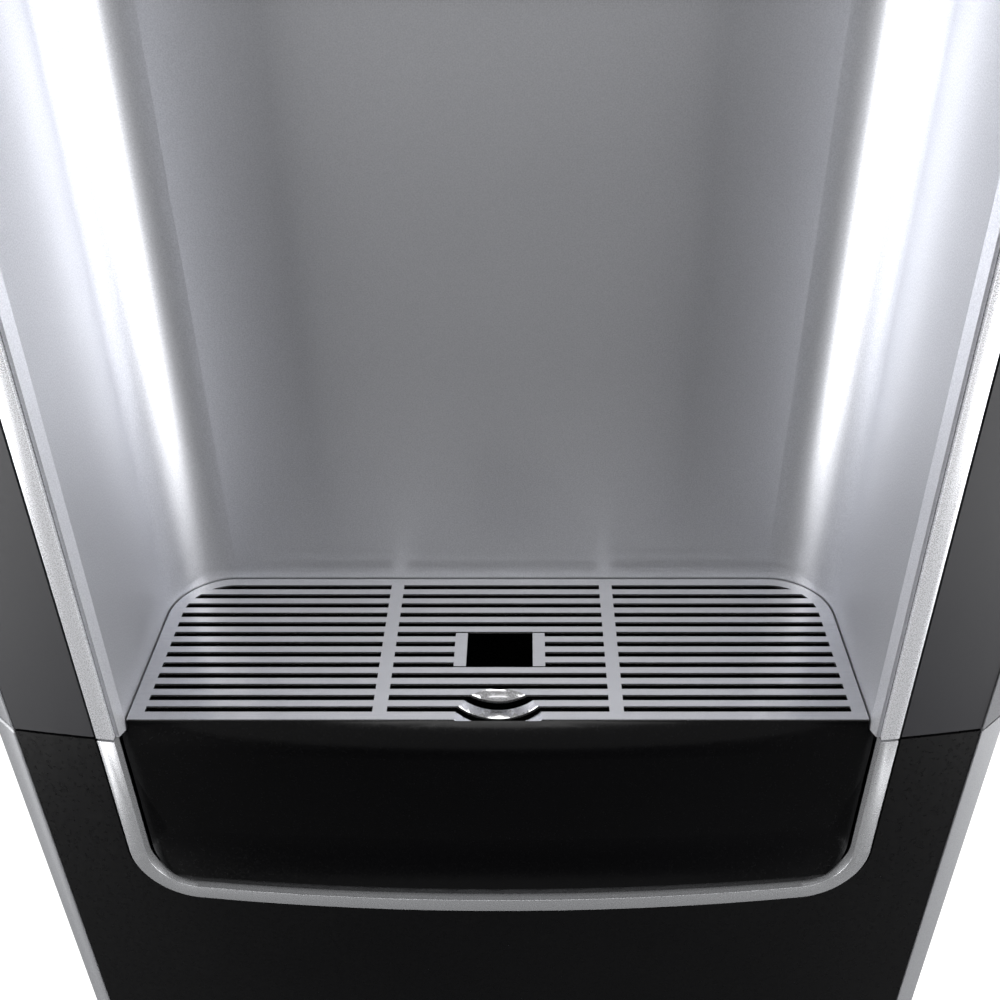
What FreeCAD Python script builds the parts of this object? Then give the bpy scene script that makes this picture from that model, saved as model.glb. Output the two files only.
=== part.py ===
import FreeCAD, Part
import math
import os
import re

import Sketcher

# Bottom load water cooler. Millimetres, +Z up, the front faces -Y, and the origin is on the floor
# under the middle of the case. The bottle stands in a bay behind the lower door, a pump lifts its
# water to the tanks behind the alcove, and the spouts hang from the alcove's ceiling.

Vector = FreeCAD.Vector
Rotation = FreeCAD.Rotation

DRIVING = (
    # case
    ("case_width", 310), ("case_depth", 360), ("case_height", 1040),
    ("bow_radius", 924), ("panel_recess", 0.5),
    ("strip_width", 10.45), ("strip_setback", 8.5),
    ("wall", 2.5), ("steel", 1.0), ("clearance", 0.3), ("pin_gap", 0.05),
    ("side_flange", 12), ("cover_height", 22), ("cover_rounding", 3), ("condenser_space", 16),
    ("vent_reach", 50), ("vent_height", 4), ("vent_pitch", 14), ("vent_rise", 40),
    ("low_vent_reach", 70), ("low_vent_pitch", 16), ("low_vent_rise", 60), ("line_hole_gap", 1.5),
    # plinth
    ("foot_height", 12), ("foot_radius", 14), ("foot_inset", 32), ("tread_taper", 4), ("stem_radius", 4),
    ("base_height", 28), ("base_setback", 14), ("base_corner", 12),
    ("platform_thickness", 5.7), ("recess_border", 15.7), ("recess_depth", 2),
    ("deck_drop", 84), ("deck_flange", 14),
    # door
    ("door_thickness", 31), ("door_gap", 4), ("hinge_inset_x", 5), ("hinge_inset_y", 7.5),
    ("hinge_plate", 2.5), ("leaf_length", 24), ("leaf_front", 6.5), ("leaf_corner", 5),
    ("hinge_pin_radius", 2.45), ("bush_radius", 3.6), ("bush_length", 14),
    ("bush_proud", 0.7), ("magnet_height", 40), ("magnet_width", 8), ("magnet_rise", 310),
    # split between the door and the upper front
    ("split_drop", 4.3), ("split_gap", 1.0),
    # grate
    ("grate_drop", 350), ("grate_width", 220.7), ("grate_depth", 67.3), ("grate_corner", 19.2),
    ("grate_sheet", 0.7), ("grate_setback", 11.8),
    ("slot_count", 13), ("slot_pitch", 4.87), ("slot_width", 2.3), ("slot_margin", 4.5),
    ("first_slot", 4.36), ("middle_column", 66.8), ("divider", 4.3),
    ("window_width", 21), ("window_depth", 15.8), ("window_setback", 31.1), ("window_rim", 3.9),
    ("dish_radius", 13.2), ("dish_depth", 6.2),
    # alcove
    ("alcove_height", 225), ("alcove_top_corner", 12), ("liner_wall", 2.3), ("liner_gap", 0.45),
    ("flare_width", 1.3), ("flare_depth", 3.4), ("well_depth", 50), ("well_setback", 1.5),
    # trim round the alcove and the tray
    ("trim_face", 5.4), ("trim_depth", 3.5), ("trim_corner", 20), ("trim_drop", 69.5),
    ("trim_gap", 0.9), ("throat_step", 0.6), ("frame_depth", 14.5),
    # drip tray
    ("tray_gap", 0.8), ("tray_side_gap", 0.6), ("tray_wall", 2.2),
    ("dip_margin", 3), ("shoulder_reach", 6.0), ("shoulder_drop", 11), ("shoulder_bow", 0.75),
    ("face_lean", 0.8), ("flare_start", 48), ("lip_reach", 9.7), ("lip_bow", 0.94),
    ("lip_height", 2.2), ("ear_drop", 9),
    # controls
    ("fascia_border", 55), ("fascia_height", 64), ("fascia_drop", 44), ("fascia_corner", 10),
    ("fascia_wall", 3), ("fascia_recess", 0.5), ("fascia_ledge", 3),
    ("button_radius", 13), ("button_share", 0.26), ("button_gap", 0.4), ("button_proud", 0.8),
    ("button_travel", 2.5), ("button_length", 11), ("button_dish", 0.8), ("button_edge", 1.2),
    ("button_flange", 2), ("flange_depth", 1.5), ("flange_gap", 1.3), ("lens_radius", 2), ("lens_rise", 22),
    ("lock_inset", 16), ("lock_width", 8), ("lock_height", 6), ("lock_travel", 6), ("runner_reach", 2),
    ("runner_depth", 1.5),
    ("board_border", 17), ("board_height", 54), ("board_thickness", 1.6), ("board_setback", 20),
    ("key_case", 12), ("key_depth", 1.5), ("key_radius", 2),
    ("post_radius", 3), ("post_inset", 8), ("post_z", 21),
    # spouts
    ("spout_spacing", 28), ("spout_radius", 5), ("spout_wall", 1.5), ("spout_setback", 40),
    ("spout_drop", 25), ("spout_length", 60), ("housing_width", 96), ("housing_depth", 38),
    ("housing_drop", 15), ("housing_corner", 12), ("housing_flange", 3), ("flange_thickness", 3),
    ("light_flange", 2), ("light_rim", 1.5),
    ("light_width", 50), ("light_depth", 8), ("light_setback", 10),
    # hot side
    ("hot_inset", 29.5), ("hot_margin", 13.9), ("hot_setback", 103), ("hot_height", 150),
    ("hot_rise", 34),
    ("tank_wall", 1.2), ("leg_radius", 3.5), ("band_wall", 3.5), ("band_height", 30), ("band_gap", 6),
    ("port_wall", 1), ("port_length", 8),
    ("thermostat_radius", 8), ("thermostat_height", 6),
    # cold side
    ("cold_inset", 19.5), ("cold_margin", 17.2), ("cold_setback", 8), ("cold_height", 150),
    ("coil_tube", 4), ("coil_turns", 7.25), ("coil_pitch", 14), ("coil_rise", 20), ("jacket_gap", 3),
    ("jacket_wall", 14), ("bracket_rise", 179), ("bracket_plate", 1.5), ("bracket_margin", 1.5),
    ("bracket_cutback", 40),
    # compressor
    ("comp_spread", 81), ("comp_setback", 71), ("comp_radius", 52), ("comp_height", 130),
    ("comp_dome", 25), ("comp_foot", 3), ("foot_margin", 10), ("foot_corner", 8),
    ("stub_offset", 15), ("stub_reach", 6), ("stub_rise", 70), ("stub_wall", 1),
    ("terminal_reach", 12), ("terminal_width", 28), ("terminal_rise", 50), ("terminal_height", 35),
    ("mount_radius", 8), ("mount_height", 9), ("mount_x", 50), ("mount_y", 45),
    ("line_radius", 2.4), ("line_bend", 7), ("lane_inset", 6), ("drier_inset", 12),
    ("drier_length", 72), ("drier_rise", 18), ("suction_rise", 14),
    # condenser on the back
    ("condenser_border", 43), ("condenser_rise", 61), ("condenser_runs", 11),
    ("condenser_pitch", 26), ("wire_radius", 0.8), ("wire_border", 16), ("wire_count", 17),
    ("wire_overrun", 6), ("standoff_width", 8), ("standoff_height", 10),
    # pump and probe
    ("probe_inset", 27.7), ("probe_radius", 7), ("probe_rise", 60),
    ("collar_radius", 26), ("collar_height", 20), ("skirt_radius", 19), ("skirt_height", 16),
    ("collar_drop", 66), ("holder_plate", 4), ("hose_radius", 4.5), ("hose_bore", 3),
    ("pump_rise", 34), ("pump_width", 40), ("pump_height", 22), ("motor_radius", 17),
    ("outlet_reach", 8), ("barb_length", 9), ("probe_wall", 2), ("port_radius", 2.5),
    ("port_pitch", 10), ("cheek_height", 24), ("cheek_wall", 3), ("lane_reach", 14),
    ("motor_height", 50), ("tube_radius", 4), ("tube_bore", 2.8), ("tube_bend", 24),
    ("feed_bend", 6), ("tube_drop", 20), ("tube_step", 12),
    # back: switches, drain and power
    ("switch_drop", 30), ("switch_pitch", 26), ("rocker_width", 12), ("rocker_height", 17.6),
    ("rocker_depth", 6), ("rocker_tilt", 10), ("pivot_radius", 1.5), ("pivot_inset", 1.3),
    ("plate_width", 92), ("plate_height", 30),
    ("body_inset", 8), ("body_margin", 4), ("body_depth", 24), ("rocker_well", 7.5),
    ("rocker_gap", 0.4), ("rocker_play", 1.4), ("rocker_root", 3), ("rocker_dip", 1.2),
    ("cheek_width", 5), ("hole_margin", 3),
    ("drain_rise", 22), ("drain_radius", 7), ("drain_bore", 4.5), ("cap_radius", 10),
    ("neck_inside", 12), ("neck_outside", 10), ("drain_flange", 5), ("drain_washer", 2.5),
    ("cap_length", 12), ("cap_depth", 9.3), ("cap_gap", 1),
    ("inlet_x", -20), ("inlet_rise", 26), ("inlet_width", 27), ("inlet_height", 20),
    ("inlet_ear", 9), ("inlet_border", 4), ("inlet_face", 3), ("inlet_depth", 20),
    ("inlet_wall", 1.5), ("socket_depth", 14), ("blade_spread", 7), ("blade_low", 3.5),
    ("blade_high", 0.5), ("blade_width", 2), ("blade_height", 4),
    ("screw_radius", 1.9), ("screw_head", 3.6), ("screw_head_depth", 2), ("screw_length", 6),
    ("screw_margin", 40),
)

WORKED = (
    ("half_width", "case_width / 2"),
    ("front_face", "-case_depth / 2"),
    ("rear_face", "case_depth / 2"),
    ("bow_centre", "front_face + bow_radius"),
    ("panel_half", "half_width - strip_width"),
    ("panel_edge", "bow_centre - sqrt(bow_radius * bow_radius - panel_half * panel_half)"),
    ("strip_edge", "panel_edge + strip_setback"),
    ("panel_radius", "bow_radius - panel_recess"),
    ("base_top", "foot_height + base_height"),
    ("cover_bottom", "case_height - cover_height"),
    ("panel_top", "cover_bottom - clearance"),
    ("rear_panel_back", "rear_face - condenser_space"),
    ("rear_panel_front", "rear_panel_back - steel"),
    ("inside_back", "rear_panel_front - steel - 2 * clearance"),
    ("grate_level", "case_height - grate_drop"),
    ("split_level", "grate_level - split_drop"),
    ("door_top", "split_level - split_gap / 2"),
    ("upper_bottom", "split_level + split_gap / 2"),
    ("hinge_top", "base_top + hinge_plate"),
    ("door_bottom", "hinge_top + clearance + bush_proud"),
    ("door_back", "front_face + door_thickness"),
    ("skin_back", "door_back - wall - clearance"),
    ("case_front", "door_back + door_gap"),
    ("hinge_x", "half_width - hinge_inset_x"),
    ("hinge_y", "door_back - hinge_inset_y"),
    ("grate_front", "front_face + grate_setback"),
    ("grate_back", "grate_front + grate_depth"),
    ("grate_half", "grate_width / 2"),
    ("grate_under", "grate_level - grate_sheet"),
    ("liner_half", "grate_half + liner_gap"),
    ("liner_outer", "liner_half + liner_wall"),
    ("liner_back", "grate_back + liner_gap"),
    ("liner_front", "grate_front - flare_depth"),
    ("liner_corner", "grate_corner + liner_gap"),
    ("ceiling", "grate_level + alcove_height"),
    ("liner_top", "ceiling + liner_wall"),
    ("well_floor", "grate_level - well_depth"),
    ("well_bottom", "well_floor - liner_wall"),
    ("well_front", "door_back + well_setback"),
    ("trim_inner", "liner_outer + clearance"),
    ("trim_bottom", "grate_level - trim_drop"),
    ("trim_top", "liner_top + clearance"),
    ("notch_corner", "trim_corner + trim_gap"),
    ("throat_corner", "trim_corner - trim_face + throat_step"),
    ("tray_back", "grate_front - clearance"),
    ("rim_level", "grate_under - clearance"),
    ("basin_half", "liner_half - tray_side_gap"),
    ("basin_back", "liner_back - tray_side_gap"),
    ("basin_corner", "liner_corner - tray_side_gap"),
    ("basin_bottom", "well_floor + clearance"),
    ("tray_half", "trim_inner - tray_gap"),
    ("dish_sphere", "(dish_radius * dish_radius + dish_depth * dish_depth) / (2 * dish_depth)"),
    ("deck_level", "grate_level - deck_drop"),
    ("deck_top", "deck_level + steel"),
    ("inside_half", "half_width - steel - clearance"),
    ("bottle_recess", "min(inside_half; (rear_panel_front - case_front) / 2) - recess_border"),
    ("magnet_level", "base_top + magnet_rise"),
    ("fascia_width", "case_width - 2 * fascia_border"),
    ("fascia_level", "cover_bottom - fascia_drop"),
    ("fascia_radius", "panel_radius - fascia_recess"),
    ("fascia_half", "fascia_width / 2"),
    ("button_spacing", "fascia_width * button_share"),
    ("lock_offset", "fascia_half - lock_inset"),
    ("board_width", "fascia_width - 2 * board_border"),
    ("post_x", "board_width / 2 - post_inset"),
    ("fascia_low", "fascia_level - fascia_height / 2"),
    ("fascia_high", "fascia_level + fascia_height / 2"),
    ("fascia_apex", "bow_centre - fascia_radius"),
    ("side_button_y", "bow_centre - sqrt(fascia_radius * fascia_radius"
                      " - button_spacing * button_spacing)"),
    ("lock_y", "bow_centre - sqrt(fascia_radius * fascia_radius - lock_offset * lock_offset)"),
    ("fascia_end_y", "bow_centre - sqrt(fascia_radius * fascia_radius - fascia_half * fascia_half)"),
    ("board_front", "front_face + board_setback"),
    ("spout_y", "grate_front + spout_setback"),
    ("spout_tip", "ceiling - spout_drop"),
    ("hot_radius", "half_width / 2 - hot_inset"),
    ("hot_x", "inside_half - hot_margin - hot_radius - band_wall - clearance"),
    ("hot_y", "rear_panel_front - hot_setback"),
    ("hot_bottom", "deck_top + hot_rise"),
    ("hot_top", "hot_bottom + hot_height"),
    ("cold_radius", "half_width / 2 - cold_inset"),
    ("cold_x", "inside_half - cold_margin - bracket_half"),
    ("cold_y", "liner_back + liner_wall + cold_setback + jacket_outer"),
    ("bracket_level", "deck_top + bracket_rise"),
    ("jacket_bottom", "bracket_level + bracket_plate + clearance"),
    ("cold_bottom", "jacket_bottom + jacket_wall + clearance"),
    ("cold_top", "cold_bottom + cold_height"),
    ("coil_radius", "cold_radius + coil_tube + clearance"),
    ("jacket_inner", "cold_radius + 2 * coil_tube + jacket_gap"),
    ("jacket_outer", "jacket_inner + jacket_wall"),
    ("bracket_half", "jacket_outer + bracket_margin"),
    ("comp_x", "probe_x - comp_spread"),
    ("comp_y", "rear_panel_front - comp_setback"),
    ("comp_plate", "deck_top + clearance + mount_height"),
    ("comp_bottom", "comp_plate + comp_foot"),
    ("stub_level", "comp_plate + stub_rise"),
    ("condenser_width", "case_width - 2 * condenser_border"),
    ("wire_spacing", "(condenser_width - 2 * wire_border) / (wire_count - 1)"),
    ("condenser_bottom", "deck_top + condenser_rise"),
    ("condenser_y", "rear_face - 2 * wire_radius - line_radius"),
    ("condenser_top", "condenser_bottom + (condenser_runs - 1) * condenser_pitch"),
    ("condenser_end", "condenser_width / 2 - condenser_pitch / 2"),
    ("probe_x", "inside_half - probe_inset"),
    ("probe_y", "inside_back + clearance - probe_inset + 2"),
    ("probe_bottom", "base_top + probe_rise"),
    ("collar_level", "deck_level - collar_drop"),
    ("collar_top", "collar_level + collar_height"),
    ("skirt_bottom", "collar_level - skirt_height"),
    ("pump_bottom", "deck_top + pump_rise"),
    ("pump_top", "pump_bottom + pump_height"),
    ("tube_level", "cover_bottom - tube_drop"),
    ("switch_level", "cover_bottom - switch_drop"),
    ("drain_level", "deck_top + drain_rise"),
    ("inlet_level", "deck_top + inlet_rise"),
    ("plate_back", "rear_panel_back + wall"),
)

doc = FreeCAD.newDocument("BottomLoadWaterCooler")
sizes = doc.addObject("Spreadsheet::Sheet", "sizes")
places = doc.addObject("Spreadsheet::Sheet", "places")
driving_names = {alias for alias, amount in DRIVING}
worked_names = {alias for alias, formula in WORKED}
finished = {}


def fill_sheets():
    """Driving sizes are plain numbers in one sheet; places worked out from them fill the other."""
    for row, (alias, amount) in enumerate(DRIVING, start=1):
        sizes.set("A%d" % row, alias)
        sizes.set("B%d" % row, str(amount))
        sizes.setAlias("B%d" % row, alias)
    for row, (alias, formula) in enumerate(WORKED, start=1):
        places.set("A%d" % row, alias)
        places.setAlias("B%d" % row, alias)
        places.set("B%d" % row, "=" + refer(formula, own_sheet=True))
    doc.recompute()


def refer(formula, own_sheet=False):
    """Turns the size names in a formula into references to the sheets' cells."""
    def full_name(match):
        word = match.group(0)
        if word in driving_names:
            return "sizes." + word
        if word in worked_names and not own_sheet:
            return "places." + word
        return word
    return re.sub(r"[A-Za-z_][A-Za-z_0-9]*", full_name, str(formula))


def value(alias):
    """The present number behind a size's name."""
    sheet = sizes if alias in driving_names else places
    return float(sheet.get(alias))


def bind(item, name, formula):
    item.setExpression(name, refer(formula))


def move(item, x, y, z):
    bind(item, "Placement.Base.x", x)
    bind(item, "Placement.Base.y", y)
    bind(item, "Placement.Base.z", z)


def block(name, x0, x1, y0, y1, z0, z1):
    """A box between two corners."""
    item = doc.addObject("Part::Box", name)
    bind(item, "Length", "(%s) - (%s)" % (x1, x0))
    bind(item, "Width", "(%s) - (%s)" % (y1, y0))
    bind(item, "Height", "(%s) - (%s)" % (z1, z0))
    move(item, x0, y0, z0)
    return item


TURNS = {
    "z": Rotation(),
    "y": Rotation(Vector(1, 0, 0), -90),
    "x": Rotation(Vector(0, 1, 0), 90),
}


def rod(name, radius, length, x, y, z, axis="z"):
    """A cylinder that starts at a point and runs along +X, +Y or +Z."""
    item = doc.addObject("Part::Cylinder", name)
    item.Placement = FreeCAD.Placement(Vector(), TURNS[axis])
    bind(item, "Radius", radius)
    bind(item, "Height", length)
    move(item, x, y, z)
    return item


def cone(name, radius1, radius2, length, x, y, z):
    item = doc.addObject("Part::Cone", name)
    bind(item, "Radius1", radius1)
    bind(item, "Radius2", radius2)
    bind(item, "Height", length)
    move(item, x, y, z)
    return item


def ball(name, radius, x, y, z):
    item = doc.addObject("Part::Sphere", name)
    bind(item, "Radius", radius)
    move(item, x, y, z)
    return item


def bundle(name, items):
    """Several separate solids as one item."""
    item = doc.addObject("Part::Compound", name)
    item.Links = list(items)
    return item


def join(name, *items):
    item = doc.addObject("Part::MultiFuse", name)
    item.Shapes = list(items)
    return item


def cut(name, base, *tools):
    """The base with each tool taken away in turn."""
    item = base
    for count, tool in enumerate(tools, start=1):
        step = doc.addObject("Part::Cut", name if count == len(tools) else "%s_%d" % (name, count))
        step.Base = item
        step.Tool = tool
        item = step
    return item


def overlap(name, first, second):
    item = doc.addObject("Part::Common", name)
    item.Base = first
    item.Tool = second
    return item


def solid_feature(name, shape):
    """A shape that neither primitives nor sketches make."""
    item = doc.addObject("Part::Feature", name)
    item.Shape = shape
    return item


def rounded_edges(name, item, radius, wanted):
    """Fillets the edges for which wanted(edge) is true."""
    doc.recompute()
    step = doc.addObject("Part::Fillet", name)
    step.Base = item
    size = value(radius)
    edges = enumerate(item.Shape.Edges, start=1)
    step.Edges = [(index, size, size) for index, edge in edges if wanted(edge)]
    return step


def attach(sketch, body, role, offset):
    plane = [item for item in body.Origin.OriginFeatures if item.Role == role][0]
    sketch.AttachmentSupport = [(plane, "")]
    sketch.MapMode = "FlatFace"
    bind(sketch, "AttachmentOffset.Base.z", offset)


def number(formula):
    """Works out a formula through a spare cell of the places sheet."""
    places.set("D1", "=" + refer(formula, own_sheet=True))
    places.recompute()
    return float(places.get("D1"))


def hold(sketch, kind, geometry, point, formula, name):
    """A named distance of a sketch point from the sketch's origin, bound to the sizes."""
    index = sketch.addConstraint(
        Sketcher.Constraint(kind, -1, 1, geometry, point, number(formula)))
    sketch.renameConstraint(index, name)
    bind(sketch, "Constraints." + name, formula)


def outline(body, role, offset, corners):
    """A closed sketch of straight lines through corners given as pairs of formulas."""
    sketch = body.newObject("Sketcher::SketchObject", body.Name + "_outline")
    attach(sketch, body, role, offset)
    spots = [Vector(number(a), number(b), 0) for a, b in corners]
    count = len(spots)
    for index in range(count):
        sketch.addGeometry(Part.LineSegment(spots[index], spots[(index + 1) % count]), False)
    for index in range(count):
        after = (index + 1) % count
        sketch.addConstraint(Sketcher.Constraint("Coincident", index, 2, after, 1))
    for index, (a, b) in enumerate(corners):
        hold(sketch, "DistanceX", index, 1, a, "across%d" % index)
        hold(sketch, "DistanceY", index, 1, b, "along%d" % index)
    return sketch


def pad(body, sketch, length):
    step = body.newObject("PartDesign::Pad", body.Name + "_pad")
    step.Profile = sketch
    bind(step, "Length", length)
    return body


def polygon(name, corners, z0, z1):
    """A straight-sided prism between two heights."""
    body = doc.addObject("PartDesign::Body", name)
    return pad(body, outline(body, "XY_Plane", z0, corners), "(%s) - (%s)" % (z1, z0))


def profile_x(name, corners, x0, x1):
    """A prism along X with a profile of (y, z) corners."""
    body = doc.addObject("PartDesign::Body", name)
    return pad(body, outline(body, "YZ_Plane", x0, corners), "(%s) - (%s)" % (x1, x0))


def rounded_outline(body, role, offset, x0, x1, y0, y1, low, high):
    """A rectangle whose two low and two high corners may each be rounded."""
    sketch = body.newObject("Sketcher::SketchObject", body.Name + "_outline")
    attach(sketch, body, role, offset)
    left, right, bottom, top = number(x0), number(x1), number(y0), number(y1)
    low_r = number(low) if low else 0
    high_r = number(high) if high else 0
    sides = (
        (Vector(left + low_r, bottom, 0), Vector(right - low_r, bottom, 0)),
        (Vector(right, bottom + low_r, 0), Vector(right, top - high_r, 0)),
        (Vector(right - high_r, top, 0), Vector(left + high_r, top, 0)),
        (Vector(left, top - high_r, 0), Vector(left, bottom + low_r, 0)),
    )
    for start, end in sides:
        sketch.addGeometry(Part.LineSegment(start, end), False)
    for index, kind in enumerate(("Horizontal", "Vertical", "Horizontal", "Vertical")):
        sketch.addConstraint(Sketcher.Constraint(kind, index))
    turns = (
        (0, 1, right - low_r, bottom + low_r, -90, low_r, low),
        (1, 2, right - high_r, top - high_r, 0, high_r, high),
        (2, 3, left + high_r, top - high_r, 90, high_r, high),
        (3, 0, left + low_r, bottom + low_r, 180, low_r, low),
    )
    for before, after, cx, cy, angle, radius, formula in turns:
        if not formula:
            sketch.addConstraint(Sketcher.Constraint("Coincident", before, 2, after, 1))
            continue
        circle = Part.Circle(Vector(cx, cy, 0), Vector(0, 0, 1), radius)
        arc = Part.ArcOfCircle(circle, math.radians(angle), math.radians(angle + 90))
        index = sketch.addGeometry(arc, False)
        sketch.addConstraint(Sketcher.Constraint("Tangent", before, 2, index, 1))
        sketch.addConstraint(Sketcher.Constraint("Tangent", index, 2, after, 1))
        named = "radius%d" % before
        place = sketch.addConstraint(Sketcher.Constraint("Radius", index, radius))
        sketch.renameConstraint(place, named)
        bind(sketch, "Constraints." + named, formula)
    hold(sketch, "DistanceY", 0, 1, y0, "bottom")
    hold(sketch, "DistanceX", 1, 1, x1, "right")
    hold(sketch, "DistanceY", 2, 1, y1, "top")
    hold(sketch, "DistanceX", 3, 1, x0, "left")
    return sketch


def plan_slab(name, x0, x1, y0, y1, z0, z1, front=None, back=None):
    """A slab whose plan has rounded front or back corners."""
    body = doc.addObject("PartDesign::Body", name)
    sketch = rounded_outline(body, "XY_Plane", z0, x0, x1, y0, y1, front, back)
    return pad(body, sketch, "(%s) - (%s)" % (z1, z0))


def front_slab(name, x0, x1, z0, z1, y0, y1, low=None, high=None):
    """A slab whose front view has rounded low or high corners, between two depths."""
    body = doc.addObject("PartDesign::Body", name)
    sketch = rounded_outline(body, "XZ_Plane", "-(%s)" % y1, x0, x1, z0, z1, low, high)
    return pad(body, sketch, "(%s) - (%s)" % (y1, y0))


def turned(name, corners):
    """A body turned about its own Y axis from a profile of (radius, depth) corners."""
    body = doc.addObject("PartDesign::Body", name)
    sketch = outline(body, "XY_Plane", "0", corners)
    step = body.newObject("PartDesign::Revolution", name + "_turn")
    step.Profile = sketch
    step.ReferenceAxis = (sketch, ["V_Axis"])
    step.Angle = 360
    return body


def tangent_arc(start, end, direction):
    """The arc that leaves start along direction and ends at end."""
    chord = end - start
    along = Vector(chord).normalize()
    side = direction - along * direction.dot(along)
    if side.Length < 1e-6:
        return Part.LineSegment(start, end)
    side.normalize()
    angle = Vector(direction).getAngle(along)
    rise = chord.Length / 2 * math.tan(angle / 2)
    return Part.Arc(start, start + chord * 0.5 + side * rise, end)


def bent_path(points, bend):
    """Straight runs through points, with each turn an arc of the bend radius."""
    edges = []
    start = points[0]
    for index in range(1, len(points) - 1):
        here = points[index]
        before = Vector(points[index - 1] - here).normalize()
        after = Vector(points[index + 1] - here).normalize()
        turn = math.pi - before.getAngle(after)
        reach = bend * math.tan(turn / 2)
        enter = here + before * reach
        leave = here + after * reach
        edges.append(Part.LineSegment(start, enter).toShape())
        edges.append(tangent_arc(enter, leave, -before).toShape())
        start = leave
    edges.append(Part.LineSegment(start, points[-1]).toShape())
    return Part.Wire(edges)


def swept(path, radius):
    """A round bar along a path."""
    first = path.Edges[0]
    start = first.valueAt(first.FirstParameter)
    tangent = first.tangentAt(first.FirstParameter)
    ring = Part.Wire([Part.Circle(start, tangent, radius).toShape()])
    return Part.Solid(path.makePipeShell([ring], True, False))


def piped(path, radius, bore):
    """A round tube along a path."""
    return swept(path, radius).cut(swept(path, bore))


def finish(name, item):
    """Names an item as one of the cooler's pieces."""
    item.Label = name
    finished[name] = item


fill_sheets()

# The bowed front: cylinders about one upright axis far behind the case.

def bow(name, radius):
    return rod(name, radius, "case_height + 2", "0", "bow_centre", "-1")


bow_face = bow("bow_face", "bow_radius")
bow_trim_back = bow("bow_trim_back", "bow_radius - trim_depth")
bow_panel = bow("bow_panel", "panel_radius")
bow_panel_inner = bow("bow_panel_inner", "panel_radius - wall")
bow_fascia = bow("bow_fascia", "fascia_radius")
bow_fascia_back = bow("bow_fascia_back", "fascia_radius - fascia_wall")
FRONT = "front_face - 1"


def make_plinth():
    """Moulded base on four levelling feet, and the floor that the bottle stands on."""
    outer = plan_slab("base_outer", "-half_width", "half_width", "front_face + base_setback",
                      "rear_panel_back", "foot_height", "base_top", front="base_corner")
    hollow = plan_slab("base_hollow", "-half_width + wall", "half_width - wall",
                       "front_face + base_setback + wall", "rear_panel_back - wall",
                       "foot_height - 1", "base_top - wall", front="base_corner - wall")
    shell = cut("base_shell", outer, hollow)
    bosses, holes, feet = [], [], []
    for side in ("-", ""):
        for end in ("front_face + base_setback + foot_inset", "rear_panel_back - foot_inset"):
            spot = (side + "(half_width - foot_inset)", end)
            tag = "%d" % len(feet)
            bosses.append(rod("boss" + tag, "foot_radius", "base_height - wall / 2", *spot,
                              "foot_height"))
            holes.append(rod("boss_hole" + tag, "stem_radius + pin_gap", "base_height - 2 * wall",
                             *spot, "foot_height - 1"))
            tread = cone("foot_tread" + tag, "foot_radius", "foot_radius - tread_taper",
                         "foot_height - clearance", *spot, "0")
            stem = rod("foot_stem" + tag, "stem_radius", "foot_height + base_height / 2", *spot, "0")
            feet.append(join("foot" + tag, tread, stem))
    finish("base_pan", cut("base_pan", join("base_bossed", shell, *bosses), bundle("boss_holes", holes)))
    finish("feet", bundle("feet", feet))
    plate = block("platform_plate", "-inside_half + wall", "inside_half - wall",
                  "case_front + steel + clearance", "inside_back",
                  "base_top + clearance", "base_top + clearance + platform_thickness")
    recess = rod("platform_recess", "bottle_recess", "recess_depth + 1", "0",
                 "(case_front + rear_panel_front) / 2",
                 "base_top + clearance + platform_thickness - recess_depth")
    finish("bottle_platform", cut("bottle_platform", plate, recess))


def screw_spots():
    """Four screws down each edge of the rear panel, as (x, z) formulas."""
    levels = ["base_top + screw_margin + (panel_top - base_top - 2 * screw_margin) * %d / 3" % step
              for step in range(4)]
    return [(side + "(half_width - side_flange / 2)", level) for side in ("-", "") for level in levels]


def vent(name, middle, reach, low):
    """A slot through the rear panel."""
    return block(name, "%s - %s" % (middle, reach), "%s + %s" % (middle, reach),
                 "rear_panel_front - 1", "rear_panel_back + 1", low, low + " + vent_height")


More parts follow.
